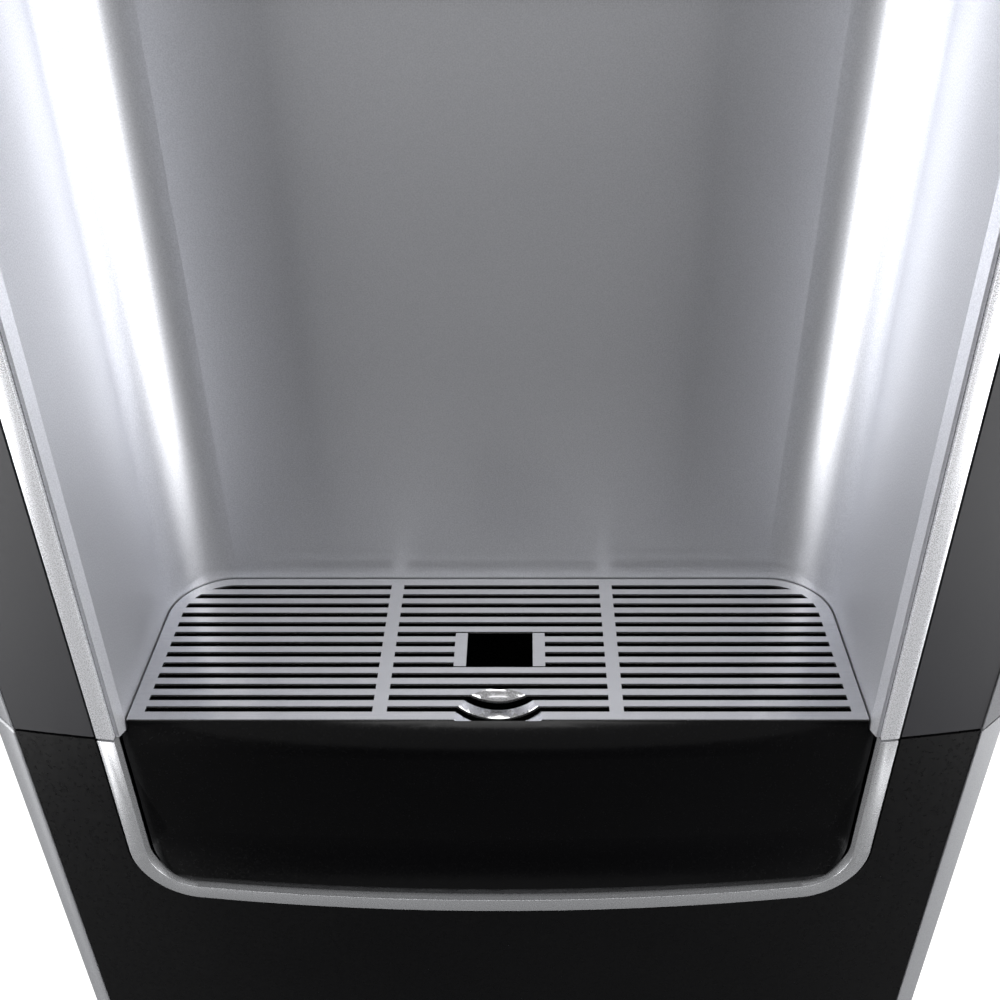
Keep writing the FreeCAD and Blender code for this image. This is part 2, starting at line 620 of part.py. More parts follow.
def make_case():
    """Sheet steel sides with turned-in flanges, the rear panel, its screws and the machine deck."""
    low, high = "base_top + clearance", "panel_top"
    back = "rear_panel_front - clearance"
    holes = [rod("screw_hole%d" % index, "screw_radius + pin_gap", "12", x,
                 "rear_panel_back - 10", z, axis="y")
             for index, (x, z) in enumerate(screw_spots())]
    screw_holes = bundle("screw_holes", holes)
    for name, side in (("left_side_panel", -1), ("right_side_panel", 1)):
        sign = "-" if side < 0 else ""
        far, near = sign + "half_width", sign + "(half_width - side_flange)"
        web = sign + "(half_width - steel)"
        x0, x1 = (far, near) if side < 0 else (near, far)
        w0, w1 = (web, near + " + 1") if side < 0 else (near + " - 1", web)
        sheet = block(name + "_blank", x0, x1, "case_front", back, low, high)
        fold = block(name + "_fold", w0, w1, "case_front + steel", back + " - steel",
                     low + " - 1", high + " + 1")
        finish(name, cut(name, sheet, fold, screw_holes))
    panel = block("rear_blank", "-half_width", "half_width", "rear_panel_front", "rear_panel_back",
                  low, high)
    vents = [vent("vent%d" % row, "comp_x", "vent_reach",
                  "deck_top + vent_rise + %d * vent_pitch" % row) for row in range(3)]
    vents += [vent("low_vent%d" % row, "0", "low_vent_reach",
                   "base_top + low_vent_rise + %d * low_vent_pitch" % row) for row in range(6)]
    switch_hole = block("switch_hole", "-plate_width / 2 + body_margin", "plate_width / 2 - body_margin",
                        "rear_panel_front - 1", "rear_panel_back + 1",
                        "switch_level - plate_height / 2 + hole_margin",
                        "switch_level + plate_height / 2 - hole_margin")
    drain_hole = rod("drain_hole", "drain_radius + clearance", "6", "-hot_x",
                     "rear_panel_front - 2", "drain_level", axis="y")
    inlet_hole = block("inlet_hole", "inlet_x - inlet_width / 2 - clearance",
                       "inlet_x + inlet_width / 2 + clearance", "rear_panel_front - 1",
                       "rear_panel_back + 1", "inlet_level - inlet_height / 2 - clearance",
                       "inlet_level + inlet_height / 2 + clearance")
    line_holes = bundle("line_holes", [
        rod("discharge_hole", "line_radius + line_hole_gap", "6", "comp_x + stub_offset",
            "rear_panel_front - 2", "condenser_top", axis="y"),
        rod("liquid_hole", "line_radius + line_hole_gap", "6", "-comp_x", "rear_panel_front - 2",
            "condenser_bottom", axis="y")])
    finish("rear_panel", cut("rear_panel", panel, bundle("vents", vents), screw_holes,
                             switch_hole, drain_hole, inlet_hole, line_holes))
    screws = []
    for index, (x, z) in enumerate(screw_spots()):
        head = rod("screw_cap%d" % index, "screw_head", "screw_head_depth", x, "rear_panel_back", z,
                   axis="y")
        shank = rod("screw_shank%d" % index, "screw_radius", "screw_length + screw_head_depth", x,
                    "rear_panel_back - screw_length", z, axis="y")
        screws.append(join("screw%d" % index, head, shank))
    finish("panel_screws", bundle("panel_screws", screws))

    deck_front, deck_back = "case_front + steel + clearance", "inside_back"
    plate = block("deck_plate", "-inside_half", "inside_half", deck_front, deck_back,
                  "deck_level", "deck_top")
    folds = [block("deck_fold_left", "-inside_half", "-inside_half + steel", deck_front, deck_back,
                   "deck_level - deck_flange", "deck_top"),
             block("deck_fold_right", "inside_half - steel", "inside_half", deck_front, deck_back,
                   "deck_level - deck_flange", "deck_top"),
             block("deck_apron", "-inside_half", "inside_half", deck_front, deck_front + " + steel",
                   "deck_level - deck_flange", "well_bottom - clearance")]
    hose_hole = rod("deck_hose_hole", "hose_radius + clearance", "4", "probe_x", "probe_y",
                    "deck_level - 1")
    finish("machine_deck", cut("machine_deck", join("deck_folded", plate, *folds), hose_hole))


def cover_outline(inset):
    """The plan of the whole case: bevelled front corners, and a front that the bow cuts."""
    side = "half_width - %s" % inset
    knee = "panel_half - 0.6 * %s" % inset
    return ((side, "rear_panel_back + 2 - %s" % inset), (side, "strip_edge + 0.4 * %s" % inset),
            (knee, "panel_edge + 0.9 * %s" % inset), (knee, "front_face - 5"),
            ("-(%s)" % knee, "front_face - 5"), ("-(%s)" % knee, "panel_edge + 0.9 * %s" % inset),
            ("-(%s)" % side, "strip_edge + 0.4 * %s" % inset),
            ("-(%s)" % side, "rear_panel_back + 2 - %s" % inset))


def make_cover():
    """Moulded top with a rounded upper edge, open below."""
    outer = overlap("cover_outer", polygon("cover_blank", cover_outline("0"), "cover_bottom",
                                           "case_height"), bow_face)
    top = value("case_height")
    smooth = rounded_edges("cover_smooth", outer, "cover_rounding",
                           lambda edge: abs(edge.BoundBox.ZMin - top) < 0.01)
    inner = overlap("cover_inner", polygon("cover_core", cover_outline("wall"), "cover_bottom - 1",
                                           "case_height - wall"),
                    bow("bow_cover", "bow_radius - wall"))
    finish("top_cover", cut("top_cover", smooth, inner))


def ring_slab(name, reach, low_corner, high_corner, back="case_front + 5"):
    """A rounded front-view slab that stands reach outside the trim's inner edge."""
    return front_slab(name, "-trim_inner - (%s)" % reach, "trim_inner + (%s)" % reach,
                      "trim_bottom - (%s)" % reach, "trim_top + (%s)" % reach,
                      FRONT, back, low=low_corner, high=high_corner)


def make_front():
    """Bowed black panels, the silver trim that runs round the alcove and tray, and the strips."""
    inner_corner = "trim_corner - trim_face"
    ring_outer = ring_slab("ring_outer", "trim_face", "trim_corner", "trim_corner")
    ring_inner = ring_slab("ring_inner", "0", inner_corner, inner_corner)
    throat = ring_slab("throat", "throat_step", "throat_corner", "throat_corner")
    notch = ring_slab("notch", "trim_face + trim_gap", "notch_corner", "notch_corner")
    frame = ring_slab("frame", "trim_face + trim_gap + wall", "notch_corner + wall",
                      "notch_corner + wall")
    ring = cut("trim_ring", overlap("trim_bowed", cut("trim_flat", ring_outer, ring_inner),
                                    bow_face), bow_trim_back)
    rebate = cut("rebate", notch, bow_trim_back)
    wide = ("-half_width", "half_width", FRONT, "case_front")
    finish("door_trim", overlap("door_trim", ring, block("below_split", *wide, "0", "door_top")))
    finish("upper_trim", overlap("upper_trim", ring,
                                 block("above_split", *wide, "upper_bottom", "case_height")))

    skin = overlap("door_bowed", block("door_blank", "-panel_half", "panel_half", FRONT, "skin_back",
                                       "door_bottom", "door_top"), bow_panel)
    hollow = overlap("door_bowed_hollow",
                     block("door_hollow", "-panel_half + wall", "panel_half - wall", FRONT,
                           "skin_back + 1", "door_bottom + wall", "door_top - wall"), bow_panel_inner)
    finish("door_panel", cut("door_panel", skin, cut("door_cavity", hollow, frame), throat, rebate))
    back = block("door_back_plate", "-half_width + steel", "half_width - steel", "door_back - wall",
                 "door_back", "door_bottom", "door_top")
    finish("door_inner", cut("door_inner", back, throat))

    upper_back = "case_front - clearance"
    skin = overlap("upper_bowed", block("upper_blank", "-panel_half", "panel_half", FRONT,
                                        upper_back, "upper_bottom", "panel_top"), bow_panel)
    hollow = overlap("upper_bowed_hollow",
                     block("upper_hollow", "-panel_half + wall", "panel_half - wall", FRONT,
                           upper_back + " + 1", "upper_bottom + wall", "panel_top - wall"),
                     bow_panel_inner)
    window_frame = fascia_slab("fascia_frame", "clearance + wall", "fascia_corner + wall")
    window_seat = cut("fascia_seat", fascia_slab("fascia_hole", "clearance", "fascia_corner"),
                      bow_fascia_back)
    window_throat = fascia_slab("fascia_throat", "-fascia_ledge", "fascia_corner - fascia_ledge")
    short_frame = ring_slab("short_frame", "trim_face + trim_gap + wall", "notch_corner + wall",
                            "notch_corner + wall", back="front_face + frame_depth")
    cavity = cut("upper_cavity", hollow, short_frame, window_frame)
    finish("upper_front_panel", cut("upper_front_panel", skin, cavity, throat, rebate, window_seat,
                                    window_throat))


def fascia_slab(name, reach, corner):
    return front_slab(name, "-fascia_half - (%s)" % reach, "fascia_half + (%s)" % reach,
                      "fascia_low - (%s)" % reach, "fascia_high + (%s)" % reach,
                      FRONT, "case_front + 5", low=corner, high=corner)


def strip(name, side, back, low, high):
    """A bevelled edge strip beside a bowed panel."""
    sign = "-" if side < 0 else ""
    inner = sign + "(panel_half + clearance)"
    corners = ((inner, "panel_edge"), (sign + "half_width", "strip_edge"),
               (sign + "half_width", back), (inner, back))
    return polygon(name, corners, low, high)


def make_strips_and_hinges():
    """Edge strips, the two hinge pins, their bushes and the door's magnet."""
    pin = ("hinge_pin_radius", "bush_length", "hinge_x", "hinge_y")
    finish("door_strip_left", strip("door_strip_left", -1, "skin_back", "door_bottom", "door_top"))
    finish("upper_strip_left", strip("upper_strip_left", -1, "case_front - clearance",
                                     "upper_bottom", "panel_top"))
    stile = strip("door_stile", 1, "skin_back", "door_bottom", "door_top")
    sockets = [rod("bush_socket_low", "bush_radius", "bush_length - bush_proud", *pin[2:],
                   "door_bottom"),
               rod("bush_socket_high", "bush_radius", "bush_length", *pin[2:],
                   "door_top - bush_length")]
    finish("door_strip_right", cut("door_strip_right", stile, bundle("bush_sockets", sockets)))
    bushes = []
    for tag, level in (("low", "door_bottom - bush_proud"), ("high", "door_top - bush_length")):
        sleeve = rod("bush_sleeve_" + tag, "bush_radius", "bush_length", *pin[2:], level)
        bore = rod("bush_bore_" + tag, "hinge_pin_radius + pin_gap", "bush_length + 2", *pin[2:],
                   level + " - 1")
        bushes.append(cut("bush_" + tag, sleeve, bore))
    finish("door_bushes", bundle("door_bushes", bushes))
    leaf = plan_slab("hinge_leaf", "hinge_x - leaf_length", "half_width - steel",
                     "hinge_y - leaf_front", "case_front - 1", "base_top", "hinge_top",
                     front="leaf_corner")
    lower_pin = rod("lower_pin", *pin, "base_top")
    finish("lower_hinge", join("lower_hinge", leaf, lower_pin))
    finish("upper_hinge_pin", rod("upper_hinge_pin", "hinge_pin_radius", "2 * bush_length",
                                  *pin[2:], "door_top - bush_length + 1"))
    column = strip("upper_column", 1, "case_front - clearance", "upper_bottom", "panel_top")
    pin_hole = rod("upper_pin_hole", "hinge_pin_radius + pin_gap", "bush_length + 3", *pin[2:],
                   "upper_bottom - 1")
    finish("upper_strip_right", cut("upper_strip_right", column, pin_hole))
    finish("door_magnet", block("door_magnet", "-half_width + 2 * steel",
                                "-half_width + 2 * steel + magnet_width", "door_back",
                                "case_front - clearance", "magnet_level",
                                "magnet_level + magnet_height"))


def make_alcove():
    """The satin liner: alcove above, tray well below, with flared front edges."""
    shell = overlap("liner_outer_form",
                    plan_slab("liner_outer_plan", "-liner_outer", "liner_outer", "liner_front",
                              "liner_back + liner_wall", "well_bottom", "liner_top",
                              back="liner_corner + liner_wall"),
                    front_slab("liner_outer_front", "-liner_outer", "liner_outer", "well_bottom",
                               "liner_top", "liner_front", "liner_back + liner_wall",
                               high="alcove_top_corner + liner_wall"))
    space = overlap("liner_inner_form",
                    plan_slab("liner_inner_plan", "-liner_half", "liner_half", "liner_front - 1",
                              "liner_back", "well_floor", "ceiling", back="liner_corner"),
                    front_slab("liner_inner_front", "-liner_half", "liner_half", "well_floor",
                               "ceiling", "liner_front - 1", "liner_back",
                               high="alcove_top_corner"))
    flares = []
    for tag, sign in (("left", "-"), ("right", "")):
        corners = ((sign + "(liner_half - 1)", "grate_front"), (sign + "liner_half", "grate_front"),
                   (sign + "(liner_half + flare_width)", "liner_front - 0.01"),
                   (sign + "(liner_half - 1)", "liner_front - 0.01"))
        flares.append(polygon("flare_" + tag, corners, "well_floor", "ceiling - alcove_top_corner"))
    door_space = block("liner_door_space", "-half_width", "half_width", FRONT, "well_front",
                       "well_bottom - 1", "upper_bottom")
    spout_hole = housing_slab("spout_hole", "clearance", "ceiling - 1", "liner_top + 1")
    light_hole = light_block("light_hole", "clearance", "ceiling - 1", "liner_top + 1")
    finish("alcove_liner", cut("alcove_liner", shell, space, *flares, door_space, spout_hole,
                               light_hole))


def housing_slab(name, reach, low, high):
    return plan_slab(name, "-housing_width / 2 - (%s)" % reach, "housing_width / 2 + (%s)" % reach,
                     "spout_y - housing_depth / 2 - (%s)" % reach,
                     "spout_y + housing_depth / 2 + (%s)" % reach, low, high,
                     front="housing_corner + (%s)" % reach, back="housing_corner + (%s)" % reach)


def light_block(name, reach, low, high):
    middle = "grate_front + light_setback"
    return block(name, "-light_width / 2 - (%s)" % reach, "light_width / 2 + (%s)" % reach,
                 middle + " - light_depth / 2 - (%s)" % reach,
                 middle + " + light_depth / 2 + (%s)" % reach, low, high)


def make_spouts():
    """The dark spout housing in the ceiling, three spout tubes and the night light's lens."""
    above = "liner_top + clearance"
    body = housing_slab("housing_body", "0", "ceiling - housing_drop", above)
    collar = housing_slab("housing_collar", "housing_flange", above, above + " + flange_thickness")
    spots = ("-spout_spacing", "0", "spout_spacing")
    holes = [rod("housing_hole%d" % index, "spout_radius + pin_gap", "housing_drop + 20", x,
                 "spout_y", "ceiling - housing_drop - 1") for index, x in enumerate(spots)]
    finish("spout_housing", cut("spout_housing", join("housing_solid", body, collar),
                                bundle("housing_holes", holes)))
    tubes = []
    for index, x in enumerate(spots):
        bar = rod("spout_bar%d" % index, "spout_radius", "spout_length", x, "spout_y", "spout_tip")
        bore = rod("spout_bore%d" % index, "spout_radius - spout_wall", "spout_length + 2", x,
                   "spout_y", "spout_tip - 1")
        tubes.append(cut("spout%d" % index, bar, bore))
    finish("spouts", bundle("spouts", tubes))
    lens = light_block("light_lens", "0", "ceiling", above)
    rim = light_block("light_rim", "light_flange", above, above + " + light_rim")
    finish("night_light_lens", join("night_light_lens", lens, rim))


def make_grate():
    """Thin stainless sheet: slots in three columns, a window, and a dished finger hold."""
    sheet = plan_slab("grate_blank", "-grate_half", "grate_half", "grate_front", "grate_back",
                      "grate_under", "grate_level", back="grate_corner")
    centre = ("0", "grate_front", "grate_level + dish_sphere - dish_depth")
    bowl = ball("dish_bowl", "dish_sphere", *centre)
    pressed = overlap("dish_pressed",
                      cut("dish_shell", ball("dish_back", "dish_sphere + grate_sheet", *centre), bowl),
                      block("dish_limit", "-2 * dish_radius", "2 * dish_radius", "grate_front",
                            "grate_front + 2 * dish_radius", "grate_level - 2 * dish_depth",
                            "grate_level"))
    dished = join("grate_dished", cut("grate_opened", sheet, bowl), pressed)
    side = ("middle_column / 2 + divider", "grate_half - slot_margin")
    columns = (("left", "-(%s)" % side[1], "-(%s)" % side[0]),
               ("middle", "-middle_column / 2", "middle_column / 2"), ("right", side[0], side[1]))
    low, high = "grate_level - 2 * dish_depth", "grate_level + 1"
    slots = []
    for row in range(int(value("slot_count"))):
        near = "grate_front + first_slot + %d * slot_pitch - slot_width / 2" % row
        for tag, x0, x1 in columns:
            slots.append(block("slot_%s%d" % (tag, row), x0, x1, near, near + " + slot_width",
                               low, high))
    corner = "grate_corner - slot_margin"
    limit = plan_slab("slot_limit", "-grate_half + slot_margin", "grate_half - slot_margin",
                      "grate_front", "grate_back - slot_margin + slot_width / 2", low, high,
                      back=corner)
    middle = "grate_front + window_setback"
    rim = block("window_keep", "-window_width / 2 - window_rim", "window_width / 2 + window_rim",
                middle + " - window_depth / 2", middle + " + window_depth / 2", low, high)
    window = block("window_hole", "-window_width / 2", "window_width / 2",
                   middle + " - window_depth / 2", middle + " + window_depth / 2", low, high)
    cutters = cut("slot_cutters", overlap("slots_inside", bundle("slots", slots), limit), rim)
    finish("drip_grate", cut("drip_grate", dished, cutters, window))


def bow_drop(x):
    """How far the bowed front has fallen back at a distance from the middle."""
    radius = value("bow_radius")
    return radius - math.sqrt(radius * radius - x * x)


def tray_section(x):
    """The tray front's side view at x: shoulder, leaning face, flare, lip and flat back."""
    back, level = value("tray_back"), value("grate_level")
    drop = bow_drop(x)
    shoulder = value("grate_front") - value("shoulder_reach") + value("shoulder_bow") * drop
    lip = value("grate_front") - value("lip_reach") + value("lip_bow") * drop
    bottom = value("trim_bottom") + value("tray_gap")
    top = Vector(x, back, level - value("grate_sheet") / 2)
    knee = Vector(x, shoulder, level - value("shoulder_drop"))
    heel = Vector(x, shoulder + value("face_lean"), level - value("flare_start"))
    toe = Vector(x, lip, bottom + value("lip_height"))
    foot = Vector(x, lip, bottom - 2)
    corner = Vector(x, back + value("tray_wall"), bottom - 2)
    edges = (Part.LineSegment(corner, foot), Part.LineSegment(foot, toe),
             tangent_arc(heel, toe, Vector(0, 0, -1)), Part.LineSegment(heel, knee),
             tangent_arc(knee, top, Vector(0, 0, 1)), Part.LineSegment(top, corner))
    return Part.Wire([edge.toShape() for edge in edges])


def tray_outline():
    """The tray's front view: narrow at the top, flared to full width, round lower corners."""
    half, narrow = value("tray_half"), value("basin_half")
    level, bottom = value("grate_level"), value("trim_bottom") + value("tray_gap")
    radius = value("trim_corner") - value("trim_face") - value("tray_gap")
    full = level - value("ear_drop")
    turn = radius * (1 - math.sqrt(0.5))
    y = value("front_face") - 10

    def at(x, z):
        return Vector(x, y, z)

    right = [tangent_arc(at(narrow, level), at(half, full), Vector(0, 0, -1)),
             Part.LineSegment(at(half, full), at(half, bottom + radius)),
             Part.Arc(at(half, bottom + radius), at(half - turn, bottom + turn),
                      at(half - radius, bottom))]
    left = [Part.Arc(at(radius - half, bottom), at(turn - half, bottom + turn),
                     at(-half, bottom + radius)),
            Part.LineSegment(at(-half, bottom + radius), at(-half, full)),
            tangent_arc(at(-narrow, level), at(-half, full), Vector(0, 0, -1))]
    base = Part.LineSegment(at(half - radius, bottom), at(radius - half, bottom))
    cap = Part.LineSegment(at(-narrow, level), at(narrow, level))
    return Part.Wire([edge.toShape() for edge in right + [base] + left + [cap]])


def tray_front_shape():
    """Lofts the side views across the tray and trims them to its front view."""
    half = value("tray_half")
    stations = [half * share * 1.02 for share in (-1, -0.5, 0, 0.5, 1)]
    loft = Part.makeLoft([tray_section(x) for x in stations], True, False)
    window = Part.Face(tray_outline()).extrude(Vector(0, value("grate_setback") + 20, 0))
    return loft.common(window)


def make_tray():
    """One moulding: a basin that slides in the well, behind a full-width front."""
    front = solid_feature("tray_front", tray_front_shape())
    corner = "trim_corner - trim_face - tray_gap"
    ears = front_slab("tray_ears", "-tray_half", "tray_half", "trim_bottom + tray_gap",
                      "upper_bottom - tray_gap", "tray_back - clearance", "tray_back + tray_wall",
                      low=corner)
    basin = plan_slab("basin_outer", "-basin_half", "basin_half", "tray_back - clearance",
                      "basin_back", "basin_bottom", "rim_level", back="basin_corner")
    hollow = plan_slab("basin_inner", "-basin_half + tray_wall", "basin_half - tray_wall",
                       "tray_back + tray_wall", "basin_back - tray_wall",
                       "basin_bottom + tray_wall", "rim_level + 1",
                       back="basin_corner - tray_wall")
    dip = block("tray_dip", "-dish_radius - dip_margin", "dish_radius + dip_margin", "tray_back",
                "tray_back + tray_wall + 1", "grate_level - dish_depth - dip_margin",
                "grate_level + 1")
    finish("drip_tray", cut("drip_tray", join("tray_joined", front, ears, basin), hollow, dip))


def make_controls():
    """Bowed fascia with three push buttons, a sliding child lock, lamps and the board behind."""
    spots = (("hot", "-button_spacing", "side_button_y"), ("room", "0", "fascia_apex"),
             ("cold", "button_spacing", "side_button_y"))
    plate = cut("fascia_plate", overlap("fascia_bowed", fascia_slab("fascia_flat", "0",
                "fascia_corner - clearance"), bow_fascia), bow_fascia_back)
    posts = []
    for index, (side, rise) in enumerate((("-", "-"), ("-", ""), ("", "-"), ("", ""))):
        posts.append(rod("post%d" % index, "post_radius", "board_front - clearance - fascia_end_y"
                         " + 1", side + "post_x", "fascia_end_y - 1",
                         "fascia_level + %spost_z" % rise, axis="y"))
    holes = []
    for tag, x, y in spots:
        holes.append(rod("button_hole_" + tag, "button_radius + button_gap", "20", x, FRONT,
                         "fascia_level", axis="y"))
        holes.append(rod("lens_hole_" + tag, "lens_radius + pin_gap", "20", x, FRONT,
                         "fascia_level + lens_rise", axis="y"))
    holes.append(block("lock_slot", "lock_offset - lock_width / 2 - button_gap",
                       "lock_offset + lock_width / 2 + lock_travel + button_gap", FRONT,
                       FRONT + " + 20", "fascia_level - lock_height / 2 - button_gap",
                       "fascia_level + lock_height / 2 + button_gap"))
    finish("control_fascia", cut("control_fascia", join("fascia_posted", plate, *posts),
                                 bundle("fascia_holes", holes)))

    seat = "button_proud + fascia_wall + flange_gap"
    for tag, x, y in spots:
        rim = "button_radius + button_flange"
        back = seat + " + flange_depth"
        corners = (("0", "button_dish"), ("button_radius - button_edge", "0"),
                   ("button_radius", "button_edge"), ("button_radius", seat), (rim, seat),
                   (rim, back), ("post_radius", back), ("post_radius", "button_length"),
                   ("0", "button_length"))
        button = turned("button_" + tag, corners)
        move(button, x, y + " - button_proud", "fascia_level")
        finish("button_" + tag, button)

    grip = block("lock_grip", "lock_offset - lock_width / 2", "lock_offset + lock_width / 2",
                 "lock_y - button_proud", "fascia_end_y + fascia_wall + 1",
                 "fascia_level - lock_height / 2", "fascia_level + lock_height / 2")
    runner = block("lock_runner", "lock_offset - lock_width / 2 - runner_reach",
                   "lock_offset + lock_width / 2 + runner_reach",
                   "fascia_end_y + fascia_wall + clearance",
                   "fascia_end_y + fascia_wall + clearance + runner_depth", "fascia_level - lock_height",
                   "fascia_level + lock_height")
    finish("child_lock", join("child_lock", grip, runner))
    finish("indicator_lenses", bundle("indicator_lenses", [
        rod("lens_" + tag, "lens_radius", "fascia_wall + 1", x, y + " - 0.3",
            "fascia_level + lens_rise", axis="y") for tag, x, y in spots]))

    board = block("board_plate", "-board_width / 2", "board_width / 2", "board_front",
                  "board_front + board_thickness", "fascia_level - board_height / 2",
                  "fascia_level + board_height / 2")
    switches = []
    for tag, x, y in spots:
        plunger_y = y + " - button_proud + button_length + button_travel + clearance"
        switches.append(block("switch_case_" + tag, x + " - key_case / 2", x + " + key_case / 2",
                              "board_front - key_depth", "board_front",
                              "fascia_level - key_case / 2", "fascia_level + key_case / 2"))
        switches.append(rod("switch_plunger_" + tag, "key_radius", "board_front - (%s)" % plunger_y, x,
                            plunger_y, "fascia_level", axis="y"))
    finish("control_board", join("control_board", board, *switches))


def make_hot_tank():
    """Stainless hot tank on three legs, with its heater band and two thermostats."""
    spot = ("-hot_x", "hot_y")
    can = rod("hot_can", "hot_radius", "hot_height", *spot, "hot_bottom")
    hollow = rod("hot_hollow", "hot_radius - tank_wall", "hot_height - 2 * tank_wall", *spot,
                 "hot_bottom + tank_wall")
    port = rod("hot_port", "tube_radius + port_wall", "port_length", *spot, "hot_top - tank_wall")
    port_bore = rod("hot_port_bore", "tube_bore", "20", *spot, "hot_top - 10")
    legs = []
    for index, (dx, dy) in enumerate(((0.7, 0.4), (-0.7, 0.4), (0, -0.8))):
        legs.append(rod("hot_leg%d" % index, "leg_radius", "hot_rise - clearance",
                        "-hot_x + hot_radius * %s" % dx, "hot_y + hot_radius * %s" % dy,
                        "deck_top + clearance"))
    body = cut("hot_body", join("hot_joined", can, port, *legs), hollow, port_bore)
    finish("hot_tank", body)
    middle = "hot_bottom + hot_height / 4"
    ring = cut("band_ring", rod("band_outer", "hot_radius + clearance + band_wall", "band_height",
                                *spot, middle),
               rod("band_inner", "hot_radius + clearance", "band_height + 2", *spot, middle + " - 1"))
    gap = block("band_slot", "-hot_x - band_gap / 2", "-hot_x + band_gap / 2",
                "hot_y - hot_radius - 20", "hot_y", middle + " - 1", middle + " + band_height + 1")
    finish("heater_band", cut("heater_band", ring, gap))
    discs = [rod("thermostat%d" % index, "thermostat_radius", "thermostat_height",
                 "-hot_x + hot_radius + clearance", "hot_y", "hot_bottom + hot_height * %s" % share,
                 axis="x") for index, share in enumerate((0.6, 0.8))]
    finish("thermostats", bundle("thermostats", discs))


def coil_shape():
    """Evaporator tube wound round the cold tank, two arcs to each quarter turn."""
    radius, pitch = value("coil_radius"), value("coil_pitch")
    centre = Vector(value("cold_x"), value("cold_y"), value("cold_bottom") + value("coil_rise"))
    rise = pitch / (2 * math.pi)

    def spot(angle):
        return centre + Vector(radius * math.cos(angle), radius * math.sin(angle),
                               rise * (angle - math.pi / 2))

    def heading(angle):
        return Vector(-radius * math.sin(angle), radius * math.cos(angle), rise).normalize()

    edges = []
    quarters = int(value("coil_turns") * 4)
    for quarter in range(quarters):
        first, last = math.pi / 2 * (quarter + 1), math.pi / 2 * (quarter + 2)
        start, end, leave, arrive = spot(first), spot(last), heading(first), heading(last)
        chord = end - start
        square = 2 * (1 - leave.dot(arrive))
        linear = 2 * chord.dot(leave + arrive)
        reach = (-linear + math.sqrt(linear ** 2 + 4 * square * chord.dot(chord))) / (2 * square)
        middle = (start + leave * reach + end - arrive * reach) * 0.5
        bridge = Vector(end - arrive * reach - start - leave * reach).normalize()
        edges.append(tangent_arc(start, middle, leave).toShape())
        edges.append(tangent_arc(middle, end, bridge).toShape())
    gap = pitch - 2 * value("coil_tube")
    print("evaporator coil: %d quarter turns, least gap between turns %.2f mm" % (quarters, gap))
    return swept(Part.Wire(edges), value("coil_tube")), spot(math.pi / 2 * (quarters + 1))


def make_cold_tank():
    """Cold tank, the evaporator wound on it, the foam jacket and the bracket under them."""
    spot = ("cold_x", "cold_y")
    can = rod("cold_can", "cold_radius", "cold_height", *spot, "cold_bottom")
    hollow = rod("cold_hollow", "cold_radius - tank_wall", "cold_height - 2 * tank_wall", *spot,
                 "cold_bottom + tank_wall")
    ports, bores = [], []
    for index, (dx, dy) in enumerate(((0, 0), (-0.35, -0.5), (0.35, -0.5))):
        place = ("cold_x + cold_radius * %s" % dx, "cold_y + cold_radius * %s" % dy)
        ports.append(rod("cold_port%d" % index, "tube_radius + port_wall", "port_length", *place,
                         "cold_top - tank_wall"))
        bores.append(rod("cold_port_bore%d" % index, "tube_bore", "20", *place, "cold_top - 10"))
    finish("cold_tank", cut("cold_tank", join("cold_joined", can, *ports), hollow,
                            bundle("cold_bores", bores)))
    coil, top = coil_shape()
    finish("evaporator_coil", solid_feature("evaporator_coil", coil))
    jacket = rod("jacket_body", "jacket_outer", "cold_top - jacket_bottom", *spot, "jacket_bottom")
    space = rod("jacket_space", "jacket_inner", "cold_height + 5", *spot, "cold_bottom - clearance")
    inlet = rod("jacket_inlet", "line_radius + clearance", "jacket_outer + 10", *spot,
                "cold_bottom + coil_rise", axis="y")
    finish("tank_insulation", cut("tank_insulation", jacket, space, inlet))
    x0, x1 = "cold_x - bracket_half", "cold_x + bracket_half"
    y0, y1 = "cold_y - bracket_half", "cold_y + bracket_half"
    shelf = block("bracket_shelf", x0, x1, y0, y1, "bracket_level", "bracket_level + bracket_plate")
    leg_end = y1 + " - bracket_cutback"
    left = block("bracket_left", x0, x0 + " + bracket_plate", y0, leg_end,
                 "deck_top + clearance", "bracket_level + bracket_plate")
    right = block("bracket_right", x1 + " - bracket_plate", x1, y0, leg_end,
                  "deck_top + clearance", "bracket_level + bracket_plate")
    finish("tank_bracket", join("tank_bracket", shelf, left, right))
    return top


